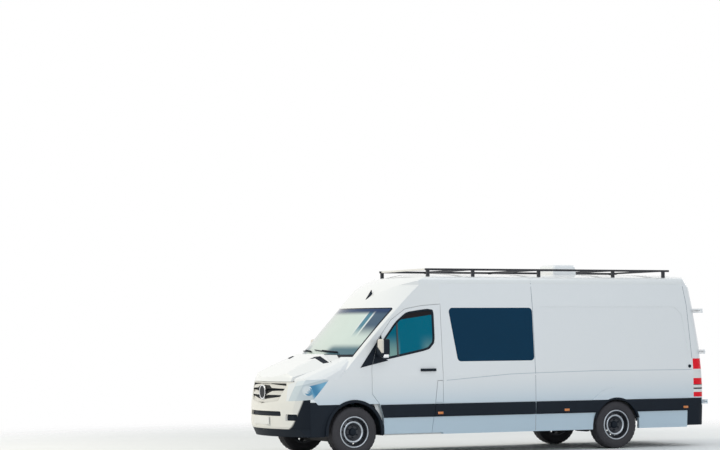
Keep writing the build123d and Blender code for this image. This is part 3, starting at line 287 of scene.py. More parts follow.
amber = surface("amber_lens", (0.62, 0.15, 0.02), (0.80, 0.28, 0.06), 30, 0.2, 0.05, coat=0.6)
mirror_glass = surface("mirror_glass", (0.62, 0.66, 0.70), (0.72, 0.76, 0.80), 2, 0.04, 0.01, metallic=1.0)
plate = surface("blank_plate", (0.74, 0.73, 0.70), (0.82, 0.81, 0.79), 4, 0.4, 0.05)
seam_grey = surface("seam_grey", (0.22, 0.24, 0.28), (0.30, 0.33, 0.37), 8, 0.6, 0.1)
# Grey of the belt crease ribbon: painted shade of the crease
crease_grey = surface("crease_grey", (0.46, 0.50, 0.54), (0.54, 0.58, 0.62), 8, 0.5, 0.1)
chrome = surface("lamp_chrome", (0.78, 0.80, 0.82), (0.90, 0.91, 0.92), 12, 0.12, 0.05, metallic=1.0)
red_lens = surface("brake_lens", (0.42, 0.008, 0.010), (0.60, 0.015, 0.018), 12, 0.15, 0.04, shine=0.3)
dark_glass = window("dark_glass", (0.02, 0.08, 0.16), (0.002, 0.042, 0.092), 0.95, 1.12)

# White paint of the sides and doors: painted blue-grey shade towards the sills, with
# the heights where that starts and is full
SILL_SHADE = (0.52, 0.64, 0.73)
SILL_SHADE_Z = (1.16, 0.46)


def white_paint(name):
    """Gloss white with the shade over the sills."""
    material = surface(name, (0.836, 0.843, 0.847), (0.842, 0.848, 0.850), 0.7, 0.28, 0.01, coat=0.6)
    # Painted shade: blue-grey towards the sills
    recolour(material, fade(material, along(material, z=1), *SILL_SHADE_Z), SILL_SHADE)
    return material


# Cab doors: the bar between the two panes is black
DOOR_BAR_BACK = (0.6895, 0.7125)
DOOR_BAR_Z = (1.395, 1.905)


def door_material():
    """White paint with the black bar."""
    material = white_paint("door_paint")
    bar = inside(material, x=x_limits(*DOOR_BAR_BACK), z=DOOR_BAR_Z)
    recolour(material, bar, BLACK, rough=0.5)
    return material


# Front bumper: its corners are black behind an edge that leans, given ahead of the front axle at Z = 0
CORNER_LEAN = 0.317
CORNER_AHEAD = (1.000, 0.977)
CORNER_Z = (0.30, 0.81)


def bumper_material():
    """Pale bumper paint with black corners."""
    material = surface("bumper_paint", (0.76, 0.74, 0.69), (0.83, 0.81, 0.76), 1.2, 0.36, 0.03, shine=0.2)
    start, full = (FRONT_AXLE_X + ahead for ahead in CORNER_AHEAD)
    corner = combine(material, fade(material, along(material, x=1, z=CORNER_LEAN), start, full),
                     inside(material, z=CORNER_Z))
    recolour(material, corner, (0.005, 0.009, 0.016), rough=0.75)
    return material


# Screen: strips of painted reflection and painted highlight by their size of Y at Z = 0, and bands and
# borders by where their fade starts and ends. The low band is painted shade of the dashboard seen through
# the glass; the top band and the borders are the glass's own tint and print
SCREEN_LEAN = 0.0516
SCREEN_REFLECTIONS = (
    (0.640, 0.668, (0.93, 0.97, 0.96)),
    (0.668, 0.745, (0.03, 0.22, 0.34)),
    (0.745, 0.770, (0.93, 0.97, 0.98)),
    (0.770, 1.200, (0.008, 0.060, 0.15)),
)
SCREEN_REFLECTION_SOFTNESS = 0.008
SCREEN_REFLECTION_Z = (1.66, 1.86)
PAINTED_LIGHT_STRENGTH = 0.9
DASHBOARD_SHADE_Z = (1.60, 1.50)
DASHBOARD_SHADE_SIDE = (0.30, 0.50)
TOP_BAND_Z = (1.985, 2.055)
BORDER_SIDE = (0.941, 0.945)
BORDER_TOP_Z = (2.078, 2.082)
BORDER_FOOT_Z = (1.437, 1.433)


def screen_material():
    """Glass with a painted pale reflection in the middle, painted reflection strips near the corners, and
    dark edges.
    """
    # The pale body colour is a painted reflection of the sky
    material = window("screen_glass", (0.55, 0.84, 0.84), (0.86, 0.97, 0.90), 0.80, 1.28)
    outwards = along(material, y=1, z=SCREEN_LEAN)
    height = along(material, z=1)
    upper_reflection = fade(material, height, *SCREEN_REFLECTION_Z, PAINTED_LIGHT_STRENGTH)
    # Painted reflections and highlights in strips near the corners
    for low, high, colour in SCREEN_REFLECTIONS:
        strip = combine(material, fade(material, outwards, low - SCREEN_REFLECTION_SOFTNESS, low + SCREEN_REFLECTION_SOFTNESS),
                        fade(material, outwards, high + SCREEN_REFLECTION_SOFTNESS, high - SCREEN_REFLECTION_SOFTNESS),
                        upper_reflection)
        recolour(material, strip, colour)
    # Painted shade of the dashboard seen through the glass, low down towards the sides
    dashboard_shade = combine(material, fade(material, height, *DASHBOARD_SHADE_Z, PAINTED_LIGHT_STRENGTH),
                       fade(material, outwards, *DASHBOARD_SHADE_SIDE))
    recolour(material, dashboard_shade, (0.04, 0.15, 0.21))
    top_band = fade(material, height, *TOP_BAND_Z)
    recolour(material, top_band, (0.020, 0.050, 0.13))
    cover_where(material, top_band)
    border = combine(material, fade(material, outwards, *BORDER_SIDE), fade(material, height, *BORDER_TOP_Z),
                     fade(material, height, *BORDER_FOOT_Z), operation="MAXIMUM")
    recolour(material, border, BLACK)
    cover_where(material, border)
    return material


# Cab door glass: painted pale reflection low down in the front pane and in the rear corner, and painted
# shadow under the top rail, which rises to the rear through a point given by its distance behind the front
# axle and its height
DOOR_REFLECTION_Z = (1.74, 1.42)
DOOR_REFLECTION_STRENGTH = 0.85
FRONT_PANE_BACK = (0.68, 0.76)
REAR_FOOT_BACK = (1.03, 1.20)
REAR_FOOT_REFLECTION_STRENGTH = 0.7
DOOR_TOP_RISE = 0.136
DOOR_TOP_POINT = (0.86, 1.93)
DOOR_SHADOW_SOFTNESS = 0.012


def cab_glass_material():
    """Teal glass with a painted pale reflection at the foot and a painted shadow at the top."""
    material = window("cab_glass", (0.10, 0.62, 0.72), (0.0, 0.22, 0.33), 0.72, 1.12)
    low_part = fade(material, along(material, z=1), *DOOR_REFLECTION_Z, DOOR_REFLECTION_STRENGTH)
    front_pane = fade(material, along(material, x=1), *x_limits(*FRONT_PANE_BACK))
    start, full = (back - FRONT_AXLE_X for back in REAR_FOOT_BACK)
    rear_foot_reflection = fade(material, along(material, x=-1), start, full, REAR_FOOT_REFLECTION_STRENGTH)
    # Painted reflection: pale low down in the front pane and in the rear corner
    pale = combine(material, low_part, combine(material, front_pane, rear_foot_reflection, operation="MAXIMUM"))
    recolour(material, pale, (0.40, 0.62, 0.54))
    # Painted shadow of the door frame under the top rail
    back, height = DOOR_TOP_POINT
    rail_start = height + DOOR_TOP_RISE * (FRONT_AXLE_X - back)
    rail = fade(material, along(material, x=DOOR_TOP_RISE, z=1), rail_start, rail_start + DOOR_SHADOW_SOFTNESS)
    recolour(material, rail, (0.018, 0.014, 0.016))
    cover_where(material, rail)
    return material


# Headlamp lens: a pale upper edge that rises to the rear, a blue wedge of painted sky reflection behind a
# leaning edge through a point given ahead of the front axle, and rings of painted reflector highlights by
# their centres, radii and colours
LAMP_SWEEP = 0.28
LAMP_SWEEP_AHEAD = 0.42
LAMP_TOP_Z = (1.100, 1.112)
LENS_REFLECTION_TOP_Z = (1.075, 1.055)
LENS_REFLECTION_LEAN = 0.5
LENS_REFLECTION_POINT = (0.715, 1.0)
LENS_REFLECTION_EDGE = (0.0, 0.05)
DEEP_REFLECTION_EDGE = (0.03, 0.07)
DEEP_REFLECTION_END = (0.22, 0.10)
LAMP_HIGHLIGHT_RINGS = (
    ((0.690, 0.885, 0.938), 0.070, (0.84, 0.90, 0.93)),
    ((0.668, 0.897, 0.922), 0.056, (0.16, 0.38, 0.57)),
    ((0.692, 0.884, 0.945), 0.048, (0.90, 0.95, 0.97)),
    ((0.672, 0.895, 0.930), 0.021, (0.34, 0.55, 0.72)),
    ((0.680, 0.890, 0.938), 0.013, (0.95, 0.97, 0.98)),
)
HIGHLIGHT_RING_SOFTNESS = 0.004
LAMP_FRAME_LEAN = -0.37
LAMP_FRAME_SIDE = (0.362, 0.352)


def lens_material():
    """Pale lens with its painted reflection wedge, painted highlight rings and inner frame."""
    material = window("lamp_lens", (0.92, 0.96, 1.0), (0.76, 0.84, 0.88), 0.84, 1.3)
    sweep = along(material, x=LAMP_SWEEP, z=1)
    sweep_start = LAMP_SWEEP * (FRONT_AXLE_X + LAMP_SWEEP_AHEAD)
    backwards = along(material, x=-1, z=LENS_REFLECTION_LEAN)
    reflection_ahead, reflection_z = LENS_REFLECTION_POINT
    reflection_start = LENS_REFLECTION_LEAN * reflection_z - FRONT_AXLE_X - reflection_ahead
    above = fade(material, sweep, *(z + sweep_start for z in LAMP_TOP_Z))
    recolour(material, above, (0.88, 0.94, 0.97))
    below = fade(material, sweep, *(z + sweep_start for z in LENS_REFLECTION_TOP_Z))
    reflection_edge, deep_reflection_edge, deep_reflection_end = (fade(material, backwards, *(reflection_start + step for step in steps))
                                      for steps in (LENS_REFLECTION_EDGE, DEEP_REFLECTION_EDGE, DEEP_REFLECTION_END))
    # Painted sky reflection: a blue wedge, deeper blue towards its rear
    blue = combine(material, reflection_edge, below)
    recolour(material, blue, (0.20, 0.46, 0.66))
    recolour(material, combine(material, deep_reflection_edge, below, deep_reflection_end), (0.07, 0.27, 0.47))
    cover_where(material, blue)
    # Rings of painted highlights and reflections of the reflector
    for (ahead, y, z), radius, colour in LAMP_HIGHLIGHT_RINGS:
        ring = distance_to(material, (FRONT_AXLE_X + ahead, y, z))
        recolour(material, fade(material, ring, radius + HIGHLIGHT_RING_SOFTNESS, radius - HIGHLIGHT_RING_SOFTNESS), colour)
    frame_side = fade(material, along(material, y=1, z=LAMP_FRAME_LEAN), *LAMP_FRAME_SIDE)
    recolour(material, frame_side, (0.82, 0.83, 0.83))
    cover_where(material, frame_side)
    return material


# Rack: its first bar is bare metal
FIRST_BAR_BACK = (0.0, 1.325)
FIRST_BAR_HALF = 0.72
FIRST_BAR_FOOT_Z = 2.636


def rack_material():
    """Dark metal with a pale first bar."""
    material = surface("rack_metal", (0.010, 0.011, 0.016), (0.022, 0.024, 0.032), 6, 0.42, metallic=0.2)
    first_bar = inside(material, x=x_limits(*FIRST_BAR_BACK), y=(-FAR, FIRST_BAR_HALF),
                       z=(FIRST_BAR_FOOT_Z, FAR))
    recolour(material, first_bar, (0.80, 0.78, 0.74), rough=0.35)
    return material


# Rear lamps: red, with pale bands and dark lines between two heights each
PALE_BAND = (0.85, 0.84, 0.82)
REAR_LAMP_BANDS = (
    (1.022, 1.160, PALE_BAND),
    (0.918, 0.928, (0.03, 0.01, 0.01)),
    (0.878, 0.918, PALE_BAND),
    (0.856, 0.878, (0.03, 0.02, 0.03)),
    (0.812, 0.856, PALE_BAND),
)


def rear_lens_material():
    """Red lens with bands."""
    material = surface("rear_lens", (0.86, 0.008, 0.022), (0.96, 0.014, 0.032), 12, 0.22, 0.04, shine=0.15)
    for low, high, colour in REAR_LAMP_BANDS:
        recolour(material, inside(material, z=(low, high)), colour)
    return material


# Front trim: the bowls behind the headlamp lenses are silver, and the cowl's middle is pale
BOWL_AHEAD = 0.39
BOWL_Y = 0.606
BOWL_Z = (0.772, 1.35)
COWL_AHEAD = 0.24
COWL_HALF = 0.702
COWL_FOOT_Z = 1.34


def front_trim_material():
    """Black plastic with silver bowls and a pale cowl."""
    material = surface("front_black", BLACK, PALE_BLACK, 6, 0.6, 0.08, shine=0.16)
    bowl = inside(material, x=(FRONT_AXLE_X + BOWL_AHEAD, FAR), y=(BOWL_Y, FAR), z=BOWL_Z)
    recolour(material, bowl, (0.84, 0.87, 0.88), rough=0.3, metallic=0.2)
    cowl = inside(material, x=(-FAR, FRONT_AXLE_X + COWL_AHEAD), y=(-FAR, COWL_HALF),
                  z=(COWL_FOOT_Z, FAR))
    recolour(material, cowl, (0.80, 0.80, 0.79), rough=0.35)
    return material


# Grille: painted blades with shade between them, and a dark disc with a bright rim. Each shade has two
# limits of the size of Y, its top, and the slope and height at Y = 0 of its lower and upper edge
BADGE_Z = 0.912
BADGE_FACE_AHEAD = 0.9705
BADGE_RIM_RADIUS = 0.1045
BADGE_DISC_RADIUS = 0.0875
SHADE_FOOT_Z = 0.760
BLADE_SHADE = (
    (0.020, 0.250, 1.010, 0.410, 0.828, -0.410, 1.072),
    (0.088, 0.565, 1.040, 0.047, 0.9163, -0.031, 0.9798),
    (0.060, 0.555, 1.040, 0.101, 0.8039, 0.040, 0.8552),
    (0.180, 0.565, 1.040, -0.064, 1.0384, 0.0, 1.034),
)


def disc_mask(material, radius):
    """Mask of the round face in the middle of the grille."""
    offset = vector(material, "SUBTRACT", object_point(material), (0, 0, BADGE_Z))
    size = measure(material, "LENGTH", vector(material, "MULTIPLY", offset, (0, 1, 1)))
    return combine(material, number(material, "LESS_THAN", size, radius),
                   inside(material, x=(FRONT_AXLE_X + BADGE_FACE_AHEAD, FAR)))


def grille_material():
    """Grey paint with the shades, the rim and the disc."""
    material = surface("grille_paint", (0.60, 0.58, 0.54), (0.72, 0.70, 0.66), 4, 0.4, 0.06, shine=0.25)
    for inner, outer, top, low_slope, low_start, high_slope, high_start in BLADE_SHADE:
        shade = combine(material, inside(material, y=(inner, outer), z=(SHADE_FOOT_Z, top)),
                        between(material, along(material, y=-low_slope, z=1), low_start, FAR),
                        between(material, along(material, y=-high_slope, z=1), -FAR, high_start))
        recolour(material, shade, (0.012, 0.012, 0.013), rough=0.7)
    rim = disc_mask(material, BADGE_RIM_RADIUS)
    recolour(material, rim, (0.85, 0.86, 0.87), rough=0.12, metallic=1.0)
    disc = disc_mask(material, BADGE_DISC_RADIUS)
    recolour(material, disc, (0.006, 0.007, 0.010), rough=0.5, metallic=0.0)
    return material


# Mirrors: the front of the upper cap is light outside a slanted line, the rest black
CAP_Y = 1.060
CAP_FOOT_Z = 1.455
CAP_SLOPE = 0.65
CAP_SLOPE_START = 2.227
CAP_BACK = 0.346


def mirror_material():
    """Black plastic with a light cap."""
    material = surface("mirror_black", BLACK, PALE_BLACK, 6, 0.55, 0.08, shine=0.16)
    cap = combine(material, between(material, along(material, y=CAP_SLOPE, z=1), CAP_SLOPE_START, FAR),
                  inside(material, x=(FRONT_AXLE_X - CAP_BACK, FAR), y=(CAP_Y, FAR), z=(CAP_FOOT_Z, FAR)))
    recolour(material, cap, (0.70, 0.66, 0.60), rough=0.4)
    return material


side_paint = white_paint("side_paint")
door_paint = door_material()
bumper = bumper_material()
screen_glass = screen_material()
cab_glass = cab_glass_material()
lens = lens_material()
rack_paint = rack_material()
rear_lens = rear_lens_material()
front_black = front_trim_material()
grille_paint = grille_material()
mirror_black = mirror_material()

NODE_MATERIALS = {
    "bumper_front": bumper, "bumper_rear": black, "cab_top": paint, "chassis_frame": chassis,
    "dashboard": cabin, "door_frames": paint, "door_glass_left": cab_glass, "door_glass_right": cab_glass,
    "door_left": door_paint, "door_right": door_paint, "engine_block": iron, "fenders": side_paint,
    "floor": floor_coat, "front_seats": cloth, "front_suspension": chassis, "front_trim": front_black,
    "fuel_flap": side_paint, "grille": grille_paint, "headlamps": lens, "hood": paint, "hood_vents": black,
    "knuckle_left": iron, "knuckle_right": iron, "mirror_left": mirror_black,
    "mirror_right": mirror_black, "rear_axle": iron, "rear_door_left": side_paint,
    "rear_door_right": side_paint, "rear_glass_left": dark_glass, "rear_glass_right": dark_glass,
    "rear_lamps": rear_lens, "rim_front_left": wheel_paint, "rim_front_right": wheel_paint,
    "rim_rear_left": wheel_paint, "rim_rear_right": wheel_paint, "roof": paint, "roof_rack": rack_paint,
    "roof_vent": vent_white, "side_panel_left": side_paint, "side_panel_right": side_paint,
    "side_trim": black, "side_windows": dark_glass, "sliding_door": side_paint,
    "tyre_front_left": rubber, "tyre_front_right": rubber, "tyre_rear_left": rubber,
    "tyre_rear_right": rubber, "underbody": steel, "vent_lid": vent_white, "windscreen": screen_glass,
}
for name, node in nodes.items():
    node.data.materials.clear()
    node.data.materials.append(NODE_MATERIALS[name])

# Shapes


def make(name, bm, material, body, smooth=True):
    """Turn a bmesh into a named piece that rides on a body."""
    mesh = bpy.data.meshes.new(name)
    bmesh.ops.recalc_face_normals(bm, faces=bm.faces)
    bm.to_mesh(mesh)
    bm.free()
    for polygon in mesh.polygons:
        polygon.use_smooth = smooth
    piece = bpy.data.objects.new(name, mesh)
    bpy.context.scene.collection.objects.link(piece)
    mesh.materials.append(material)
    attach(piece, body)
    return piece


def box(bm, low, high, bevel, segments=2):
    """Box between two corners, with rounded edges."""
    size = [abs(v) for v in (high - low)]
    matrix = Matrix.Translation((low + high) / 2) @ Matrix.Diagonal((*size, 1))
    made = bmesh.ops.create_cube(bm, size=1.0, matrix=matrix)
    edges = list(dict.fromkeys(e for v in made["verts"] for e in v.link_edges))
    bmesh.ops.bevel(bm, geom=edges, offset=bevel, segments=segments, affect="EDGES", profile=0.5)


def block(name, low, high, bevel, material, body, slot, segments=2, smooth=True):
    """Piece that is one rounded box."""
    bm = bmesh.new()
    box(bm, low, high, bevel, segments)
    make(name, bm, material, body, smooth)


def band(bm, first, second, closed):
    """Row of four-sided faces between two runs of vertices."""
    count = len(first)
    for j in range(count if closed else count - 1):
        k = (j + 1) % count
        bm.faces.new((first[j], first[k], second[k], second[j]))


def lathe(bm, section, centre, side, segments=96, closed=True, dip=None):
    """Ring about a wheel axle from a section of offset and radius, with an optional dip per segment."""
    rings = []
    for i in range(segments):
        angle = 2 * math.pi * i / segments
        ring = []
        for offset, radius in section:
            if dip:
                radius -= dip(i, offset, radius)
            spoke = Vector((math.cos(angle) * radius, side * offset, math.sin(angle) * radius))
            ring.append(bm.verts.new(centre + spoke))
        rings.append(ring)
    for first, second in zip(rings, rings[1:] + rings[:1]):
        band(bm, first, second, closed)
    return [vertex for ring in rings for vertex in ring]


def rod(bm, points, radius, sides=8):
    """Round rod through a few points, closed at its ends."""
    rings = []
    for i, point in enumerate(points):
        before = points[max(i - 1, 0)]
        after = points[min(i + 1, len(points) - 1)]
        turn = (after - before).to_track_quat("Z", "Y")
        ring = []
        for j in range(sides):
            angle = 2 * math.pi * j / sides
            ring.append(bm.verts.new(point + turn @ Vector((math.cos(angle), math.sin(angle), 0)) * radius))
        rings.append(ring)
    for first, second in zip(rings, rings[1:]):
        band(bm, first, second, closed=True)
    bm.faces.new(rings[0])
    bm.faces.new(rings[-1])


def skin_of(*names):
    """Search tree over the surfaces of some nodes."""
    bm = bmesh.new()
    for name in names:
        bm.from_mesh(nodes[name].data)
    tree = BVHTree.FromBMesh(bm)
    bm.free()
    return tree


def side_hit(tree, back, z, side):
    """Point and normal on the body side, seen from that side."""
    return tree.ray_cast(place(back, side * FAR, z), Vector((0, -side, 0)))[:2]


def sampled(points, step=0.05):
    """Points of a line in a flat view, with more between them."""
    result = []
    for (a, b), (c, d) in zip(points, points[1:]):
        count = max(1, round(math.hypot(c - a, d - b) / step))
        result += [(a + (c - a) * i / count, b + (d - b) * i / count) for i in range(count)]
    return result + [points[-1]]


def side_run(tree, line, side):
    """Points and normals on the body side along a line of distance and height."""
    hits = [side_hit(tree, back, z, side) for back, z in sampled(line)]
    return [hit for hit in hits if hit[0]]


def ribbon(bm, hits, width, lift):
    """Thin strip along a run of points on a surface."""
    edges = []
    for i, (point, normal) in enumerate(hits):
        before = hits[max(i - 1, 0)][0]
        after = hits[min(i + 1, len(hits) - 1)][0]
        across = normal.cross((after - before).normalized()) * width / 2
        raised = point + normal * lift
        edges.append((bm.verts.new(raised - across), bm.verts.new(raised + across)))
    for (a, b), (c, d) in zip(edges, edges[1:]):
        bm.faces.new((a, b, d, c))


side_skin = skin_of("side_panel_left", "side_panel_right", "sliding_door", "roof")
roof_skin = skin_of("cab_top", "roof")

# Wheels: sections as offsets along the axle from the wheel's middle, and radii
TYRE_HALF_SECTION = (
    (0.0920, 0.2035), (0.0955, 0.2150), (0.1010, 0.2215), (0.1085, 0.2360), (0.1150, 0.2550),
    (0.1174, 0.2750), (0.1166, 0.2900), (0.1174, 0.2935), (0.1174, 0.2965), (0.1160, 0.3000),
    (0.1140, 0.3160), (0.1070, 0.3320), (0.0985, 0.3430), (0.0880, 0.3495), (0.0635, 0.3499),
    (0.0620, 0.3425), (0.0540, 0.3425), (0.0525, 0.3499), (0.0335, 0.3499), (0.0320, 0.3425),
    (0.0240, 0.3425), (0.0225, 0.3499),
)
TYRE_SEGMENTS = 144
SLOT_SPACING = 4
SLOT_OFFSET = 0.063
SLOT_RADIUS = 0.335
SLOT_DEPTH = 0.006
TRIM_RING = ((0.0695, 0.124), (0.0775, 0.1395), (0.0765, 0.146), (0.0715, 0.153), (0.0690, 0.153),
             (0.0740, 0.1395), (0.0660, 0.124))
FLANGE_RING = ((0.1042, 0.204), (0.1062, 0.212), (0.1042, 0.2205), (0.1030, 0.2205), (0.1030, 0.204))
HUB_CAP = ((0.0352, 0.056), (0.050, 0.053), (0.064, 0.044), (0.070, 0.028), (0.072, 0.0005))
HUB_CAP_SEGMENTS = 48
BOLTS = 6
BOLT_SIDES = 6
BOLT_RING = 0.074
BOLT_OFFSET = 0.043
BOLT_RADIUS = 0.0105
BOLT_LENGTH = 0.017


def shoulder_slot(index, offset, radius):
    """Depth of the cross slots in the tyre's shoulders."""
    if index % SLOT_SPACING == 0 and abs(offset) > SLOT_OFFSET and radius > SLOT_RADIUS:
        return SLOT_DEPTH
    return 0


def wheel(label, back, side):
    """Tyre, bright rings, and hub cap with its bolts."""
    centre = place(back, side * HALF_TRACK, AXLE_Z)
    body = "wheel_" + label
    bm = bmesh.new()
    other_half = tuple((-offset, radius) for offset, radius in reversed(TYRE_HALF_SECTION))
    lathe(bm, TYRE_HALF_SECTION + other_half, centre, side, TYRE_SEGMENTS, dip=shoulder_slot)
    tyre = make("tread_" + label, bm, rubber, body)
    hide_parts("tyre_" + label)
    bm = bmesh.new()
    lathe(bm, TRIM_RING, centre, side)
    lathe(bm, FLANGE_RING, centre, side)
    make("trim_ring_" + label, bm, bright, body)
    bm = bmesh.new()
    lathe(bm, HUB_CAP, centre, side, HUB_CAP_SEGMENTS, closed=False)
    for i in range(BOLTS):
        angle = math.pi * (2 * i + 1) / BOLTS
        spoke = Vector((math.cos(angle) * BOLT_RING, side * BOLT_OFFSET, math.sin(angle) * BOLT_RING))
        turn = Matrix.Translation(centre + spoke) @ Matrix.Rotation(math.pi / 2, 4, "X")
        bmesh.ops.create_cone(bm, cap_ends=True, segments=BOLT_SIDES, radius1=BOLT_RADIUS,
                              radius2=BOLT_RADIUS, depth=BOLT_LENGTH, matrix=turn)
    make("hub_cap_" + label, bm, black, body, smooth=False)


# Marker lamps on the side bands
MARKER_BACKS = (1.353, 3.454, 5.542)
MARKER_Y = 0.9975
MARKER_Z = 0.590
MARKER_HALF = Vector((0.042, 0.0015, 0.017))
MARKER_BEVEL = 0.001


def marker_lamps(side, side_name):
    """Three marker lamps of one side."""
    bm = bmesh.new()
    for back in MARKER_BACKS:
        spot = place(back, side * MARKER_Y, MARKER_Z)
        box(bm, spot - MARKER_HALF, spot + MARKER_HALF, MARKER_BEVEL, 1)
    make("marker_lamps_" + side_name, bm, amber, "van_body")


# Blank plate in front: distances behind the front axle, half width and heights
FRONT_PLATE_BACKS = (-0.9922, -1.0037)
FRONT_PLATE_HALF = 0.26
FRONT_PLATE_Z = (0.460, 0.570)
PLATE_BEVEL = 0.001


def front_plate():
    """Bare plate on the bumper's face."""
    low = place(FRONT_PLATE_BACKS[0], -FRONT_PLATE_HALF, FRONT_PLATE_Z[0])
    high = place(FRONT_PLATE_BACKS[1], FRONT_PLATE_HALF, FRONT_PLATE_Z[1])
    block("blank_plate_front", low, high, PLATE_BEVEL, plate, "van_body", "bumper_paint", 1, smooth=False)


# Seams of the body sides and the roof: distance behind the front axle and height
MIDDLE_SEAM_BACK = 2.938
SEAM_TOP_Z = 2.40
REAR_SEAM = ((5.601, 2.42), (5.640, 2.149), (5.688, 1.325))
MIDDLE_SEAM = ((MIDDLE_SEAM_BACK, SEAM_TOP_Z), (MIDDLE_SEAM_BACK, 0.735))
SILL_SEAM = ((MIDDLE_SEAM_BACK, 0.525), (MIDDLE_SEAM_BACK, 0.30))
SEAMS = {"left": (REAR_SEAM, MIDDLE_SEAM, SILL_SEAM), "right": (REAR_SEAM,)}
# Belt crease: a grey ribbon of painted shade along it
BELT_CREASE = ((1.464, 1.052), (2.009, 1.091), (2.507, 1.127), (2.927, 1.138), (3.985, 1.156),
               (5.673, 1.151))
SEAM_WIDTH = 0.007
CREASE_WIDTH = 0.009
SEAM_LIFT = 0.0006
HOOP_STEPS = 60
HOOP_CENTRE_Z = 2.3
HOOP_RADIUS = 1.5


def side_seams(side, side_name):
    """Seams, and painted shade along the belt crease, of one side."""
    bm = bmesh.new()
    for run in SEAMS[side_name]:
        ribbon(bm, side_run(side_skin, run, side), SEAM_WIDTH, SEAM_LIFT)
    make("seams_" + side_name, bm, seam_grey, "van_body")
    # Painted shade along the belt crease
    bm = bmesh.new()
    ribbon(bm, side_run(side_skin, BELT_CREASE, side), CREASE_WIDTH, SEAM_LIFT)
    make("crease_" + side_name, bm, crease_grey, "van_body")


def roof_seam():
    """Seam over the roof, in line with the middle seam."""
    hits = []
    for i in range(HOOP_STEPS + 1):
        angle = math.pi * i / HOOP_STEPS
        outward = Vector((0, math.cos(angle), math.sin(angle)))
        start = place(MIDDLE_SEAM_BACK, 0, HOOP_CENTRE_Z) + outward * HOOP_RADIUS
        point, normal = side_skin.ray_cast(start, -outward)[:2]
        if point and point.z > SEAM_TOP_Z:
            hits.append((point, normal))
    bm = bmesh.new()
    ribbon(bm, hits, SEAM_WIDTH, SEAM_LIFT)
    make("roof_seam", bm, seam_grey, "van_body")


# Black rubber round the cab door windows: distance behind the front axle and height
DOOR_WINDOW = ((0.410, 1.345), (1.190, 1.496), (1.290, 1.600), (1.290, 2.055), (1.190, 2.070),
               (0.860, 2.025), (0.680, 1.885), (0.450, 1.600))
RUBBER_INSET = 0.024
RUBBER_OUTSET = 0.007
RUBBER_PROUD = 0.002
RUBBER_SUNK = 0.004
CORNER_CUT = 0.12
SHARPEST_CORNER = 0.3


def inset(points, amount):
    """Outline moved inwards by the same distance on all its sides."""
    result = []
    count = len(points)
    for i in range(count):
        before, here, after = (Vector(points[j % count]) for j in (i - 1, i, i + 1))
        first = (here - before).normalized()
        second = (after - here).normalized()
        middle = Vector((-first.y - second.y, first.x + second.x)).normalized()
        shift = amount / max(SHARPEST_CORNER, middle.dot(Vector((-first.y, first.x))))
        result.append(tuple(here + middle * shift))
    return result


def softened(points, rounds=2):
    """Closed outline whose corners are cut off a few times."""
    for cut in range(rounds):
        result = []
        for i, here in enumerate(points):
            after = points[(i + 1) % len(points)]
            for share in (CORNER_CUT, 1 - CORNER_CUT):
                result.append(tuple(a * (1 - share) + b * share for a, b in zip(here, after)))
        points = result
    return points


def window_rubber(side, side_name):
    """Rubber lip from the door skin to the glass, all round the window."""
    skin = skin_of("door_" + side_name, "door_glass_" + side_name)
    outline = softened(inset(DOOR_WINDOW, -RUBBER_OUTSET))
    inner_outline = softened(inset(DOOR_WINDOW, RUBBER_INSET))
    proud = Vector((0, side * RUBBER_PROUD, 0))
    sunk = Vector((0, side * RUBBER_SUNK, 0))
    bm = bmesh.new()
    rims = []
    for outer_place, inner_place in zip(outline, inner_outline):
        outer = side_hit(skin, *outer_place, side)[0]
        inner = side_hit(skin, *inner_place, side)[0]
        section = (outer - sunk, outer + proud, outer.lerp(inner, 0.5) + proud, inner + proud, inner - proud)
        rims.append([bm.verts.new(point) for point in section])
    for first, second in zip(rims, rims[1:] + rims[:1]):
        band(bm, first, second, closed=False)
    make("window_rubber_" + side_name, bm, black, "door_" + side_name)


# Mirror glasses and the small lamps in the mirror housings: distances behind the front axle, Y and Z
MIRROR_GLASS_BACKS = (0.4535, 0.4505)
MIRROR_GLASS_Y = (1.035, 1.185)
MIRROR_PANES_Z = ((1.480, 1.628), (1.432, 1.470))
MIRROR_GLASS_BEVEL = 0.001
MIRROR_LAMP = ((0.352, 1.105, 1.385), (0.428, 1.2126, 1.440))
MIRROR_LAMP_BEVEL = 0.010


def mirror_pieces(side, side_name):
    """Two panes and a lamp of one mirror."""
    body = "door_" + side_name
    bm = bmesh.new()
    for heights in MIRROR_PANES_Z:
        corners = zip(MIRROR_GLASS_BACKS, MIRROR_GLASS_Y, heights)
        low, high = (place(back, side * y, z) for back, y, z in corners)
        box(bm, low, high, MIRROR_GLASS_BEVEL, 1)
    make("mirror_glass_" + side_name, bm, mirror_glass, body, smooth=False)
    low, high = (place(back, side * y, z) for back, y, z in MIRROR_LAMP)
    block("mirror_lamp_" + side_name, low, high, MIRROR_LAMP_BEVEL, chrome, body, "lamp_lens", 3)


# Wipers lying along the foot of the screen: Y and Z of their points, seen from the front
WIPERS = (((0.60, 1.452), (0.30, 1.470), (-0.04, 1.492)), ((-0.10, 1.462), (-0.38, 1.478), (-0.66, 1.472)))
WIPER_STEP = 0.06
WIPER_LIFT = 0.012
WIPER_RADIUS = 0.007
WIPER_ARM_SHIFT = Vector((0.012, 0, 0.012))
WIPER_ARM_RADIUS = 0.009


def wipers():
    """Two wipers, each a blade with an arm over its first half."""
    skin = skin_of("windscreen", "cab_top", "hood")
    bm = bmesh.new()
    for wiper in WIPERS:
        points = []
        for y, z in sampled(wiper, WIPER_STEP):
            point, normal = skin.ray_cast(Vector((FAR, y, z)), Vector((-1, 0, 0)))[:2]
            points.append(point + normal * WIPER_LIFT)
        rod(bm, points, WIPER_RADIUS)
        rod(bm, [point + WIPER_ARM_SHIFT for point in points[:len(points) // 2 + 1]], WIPER_ARM_RADIUS)
    make("wipers", bm, black, "van_body")


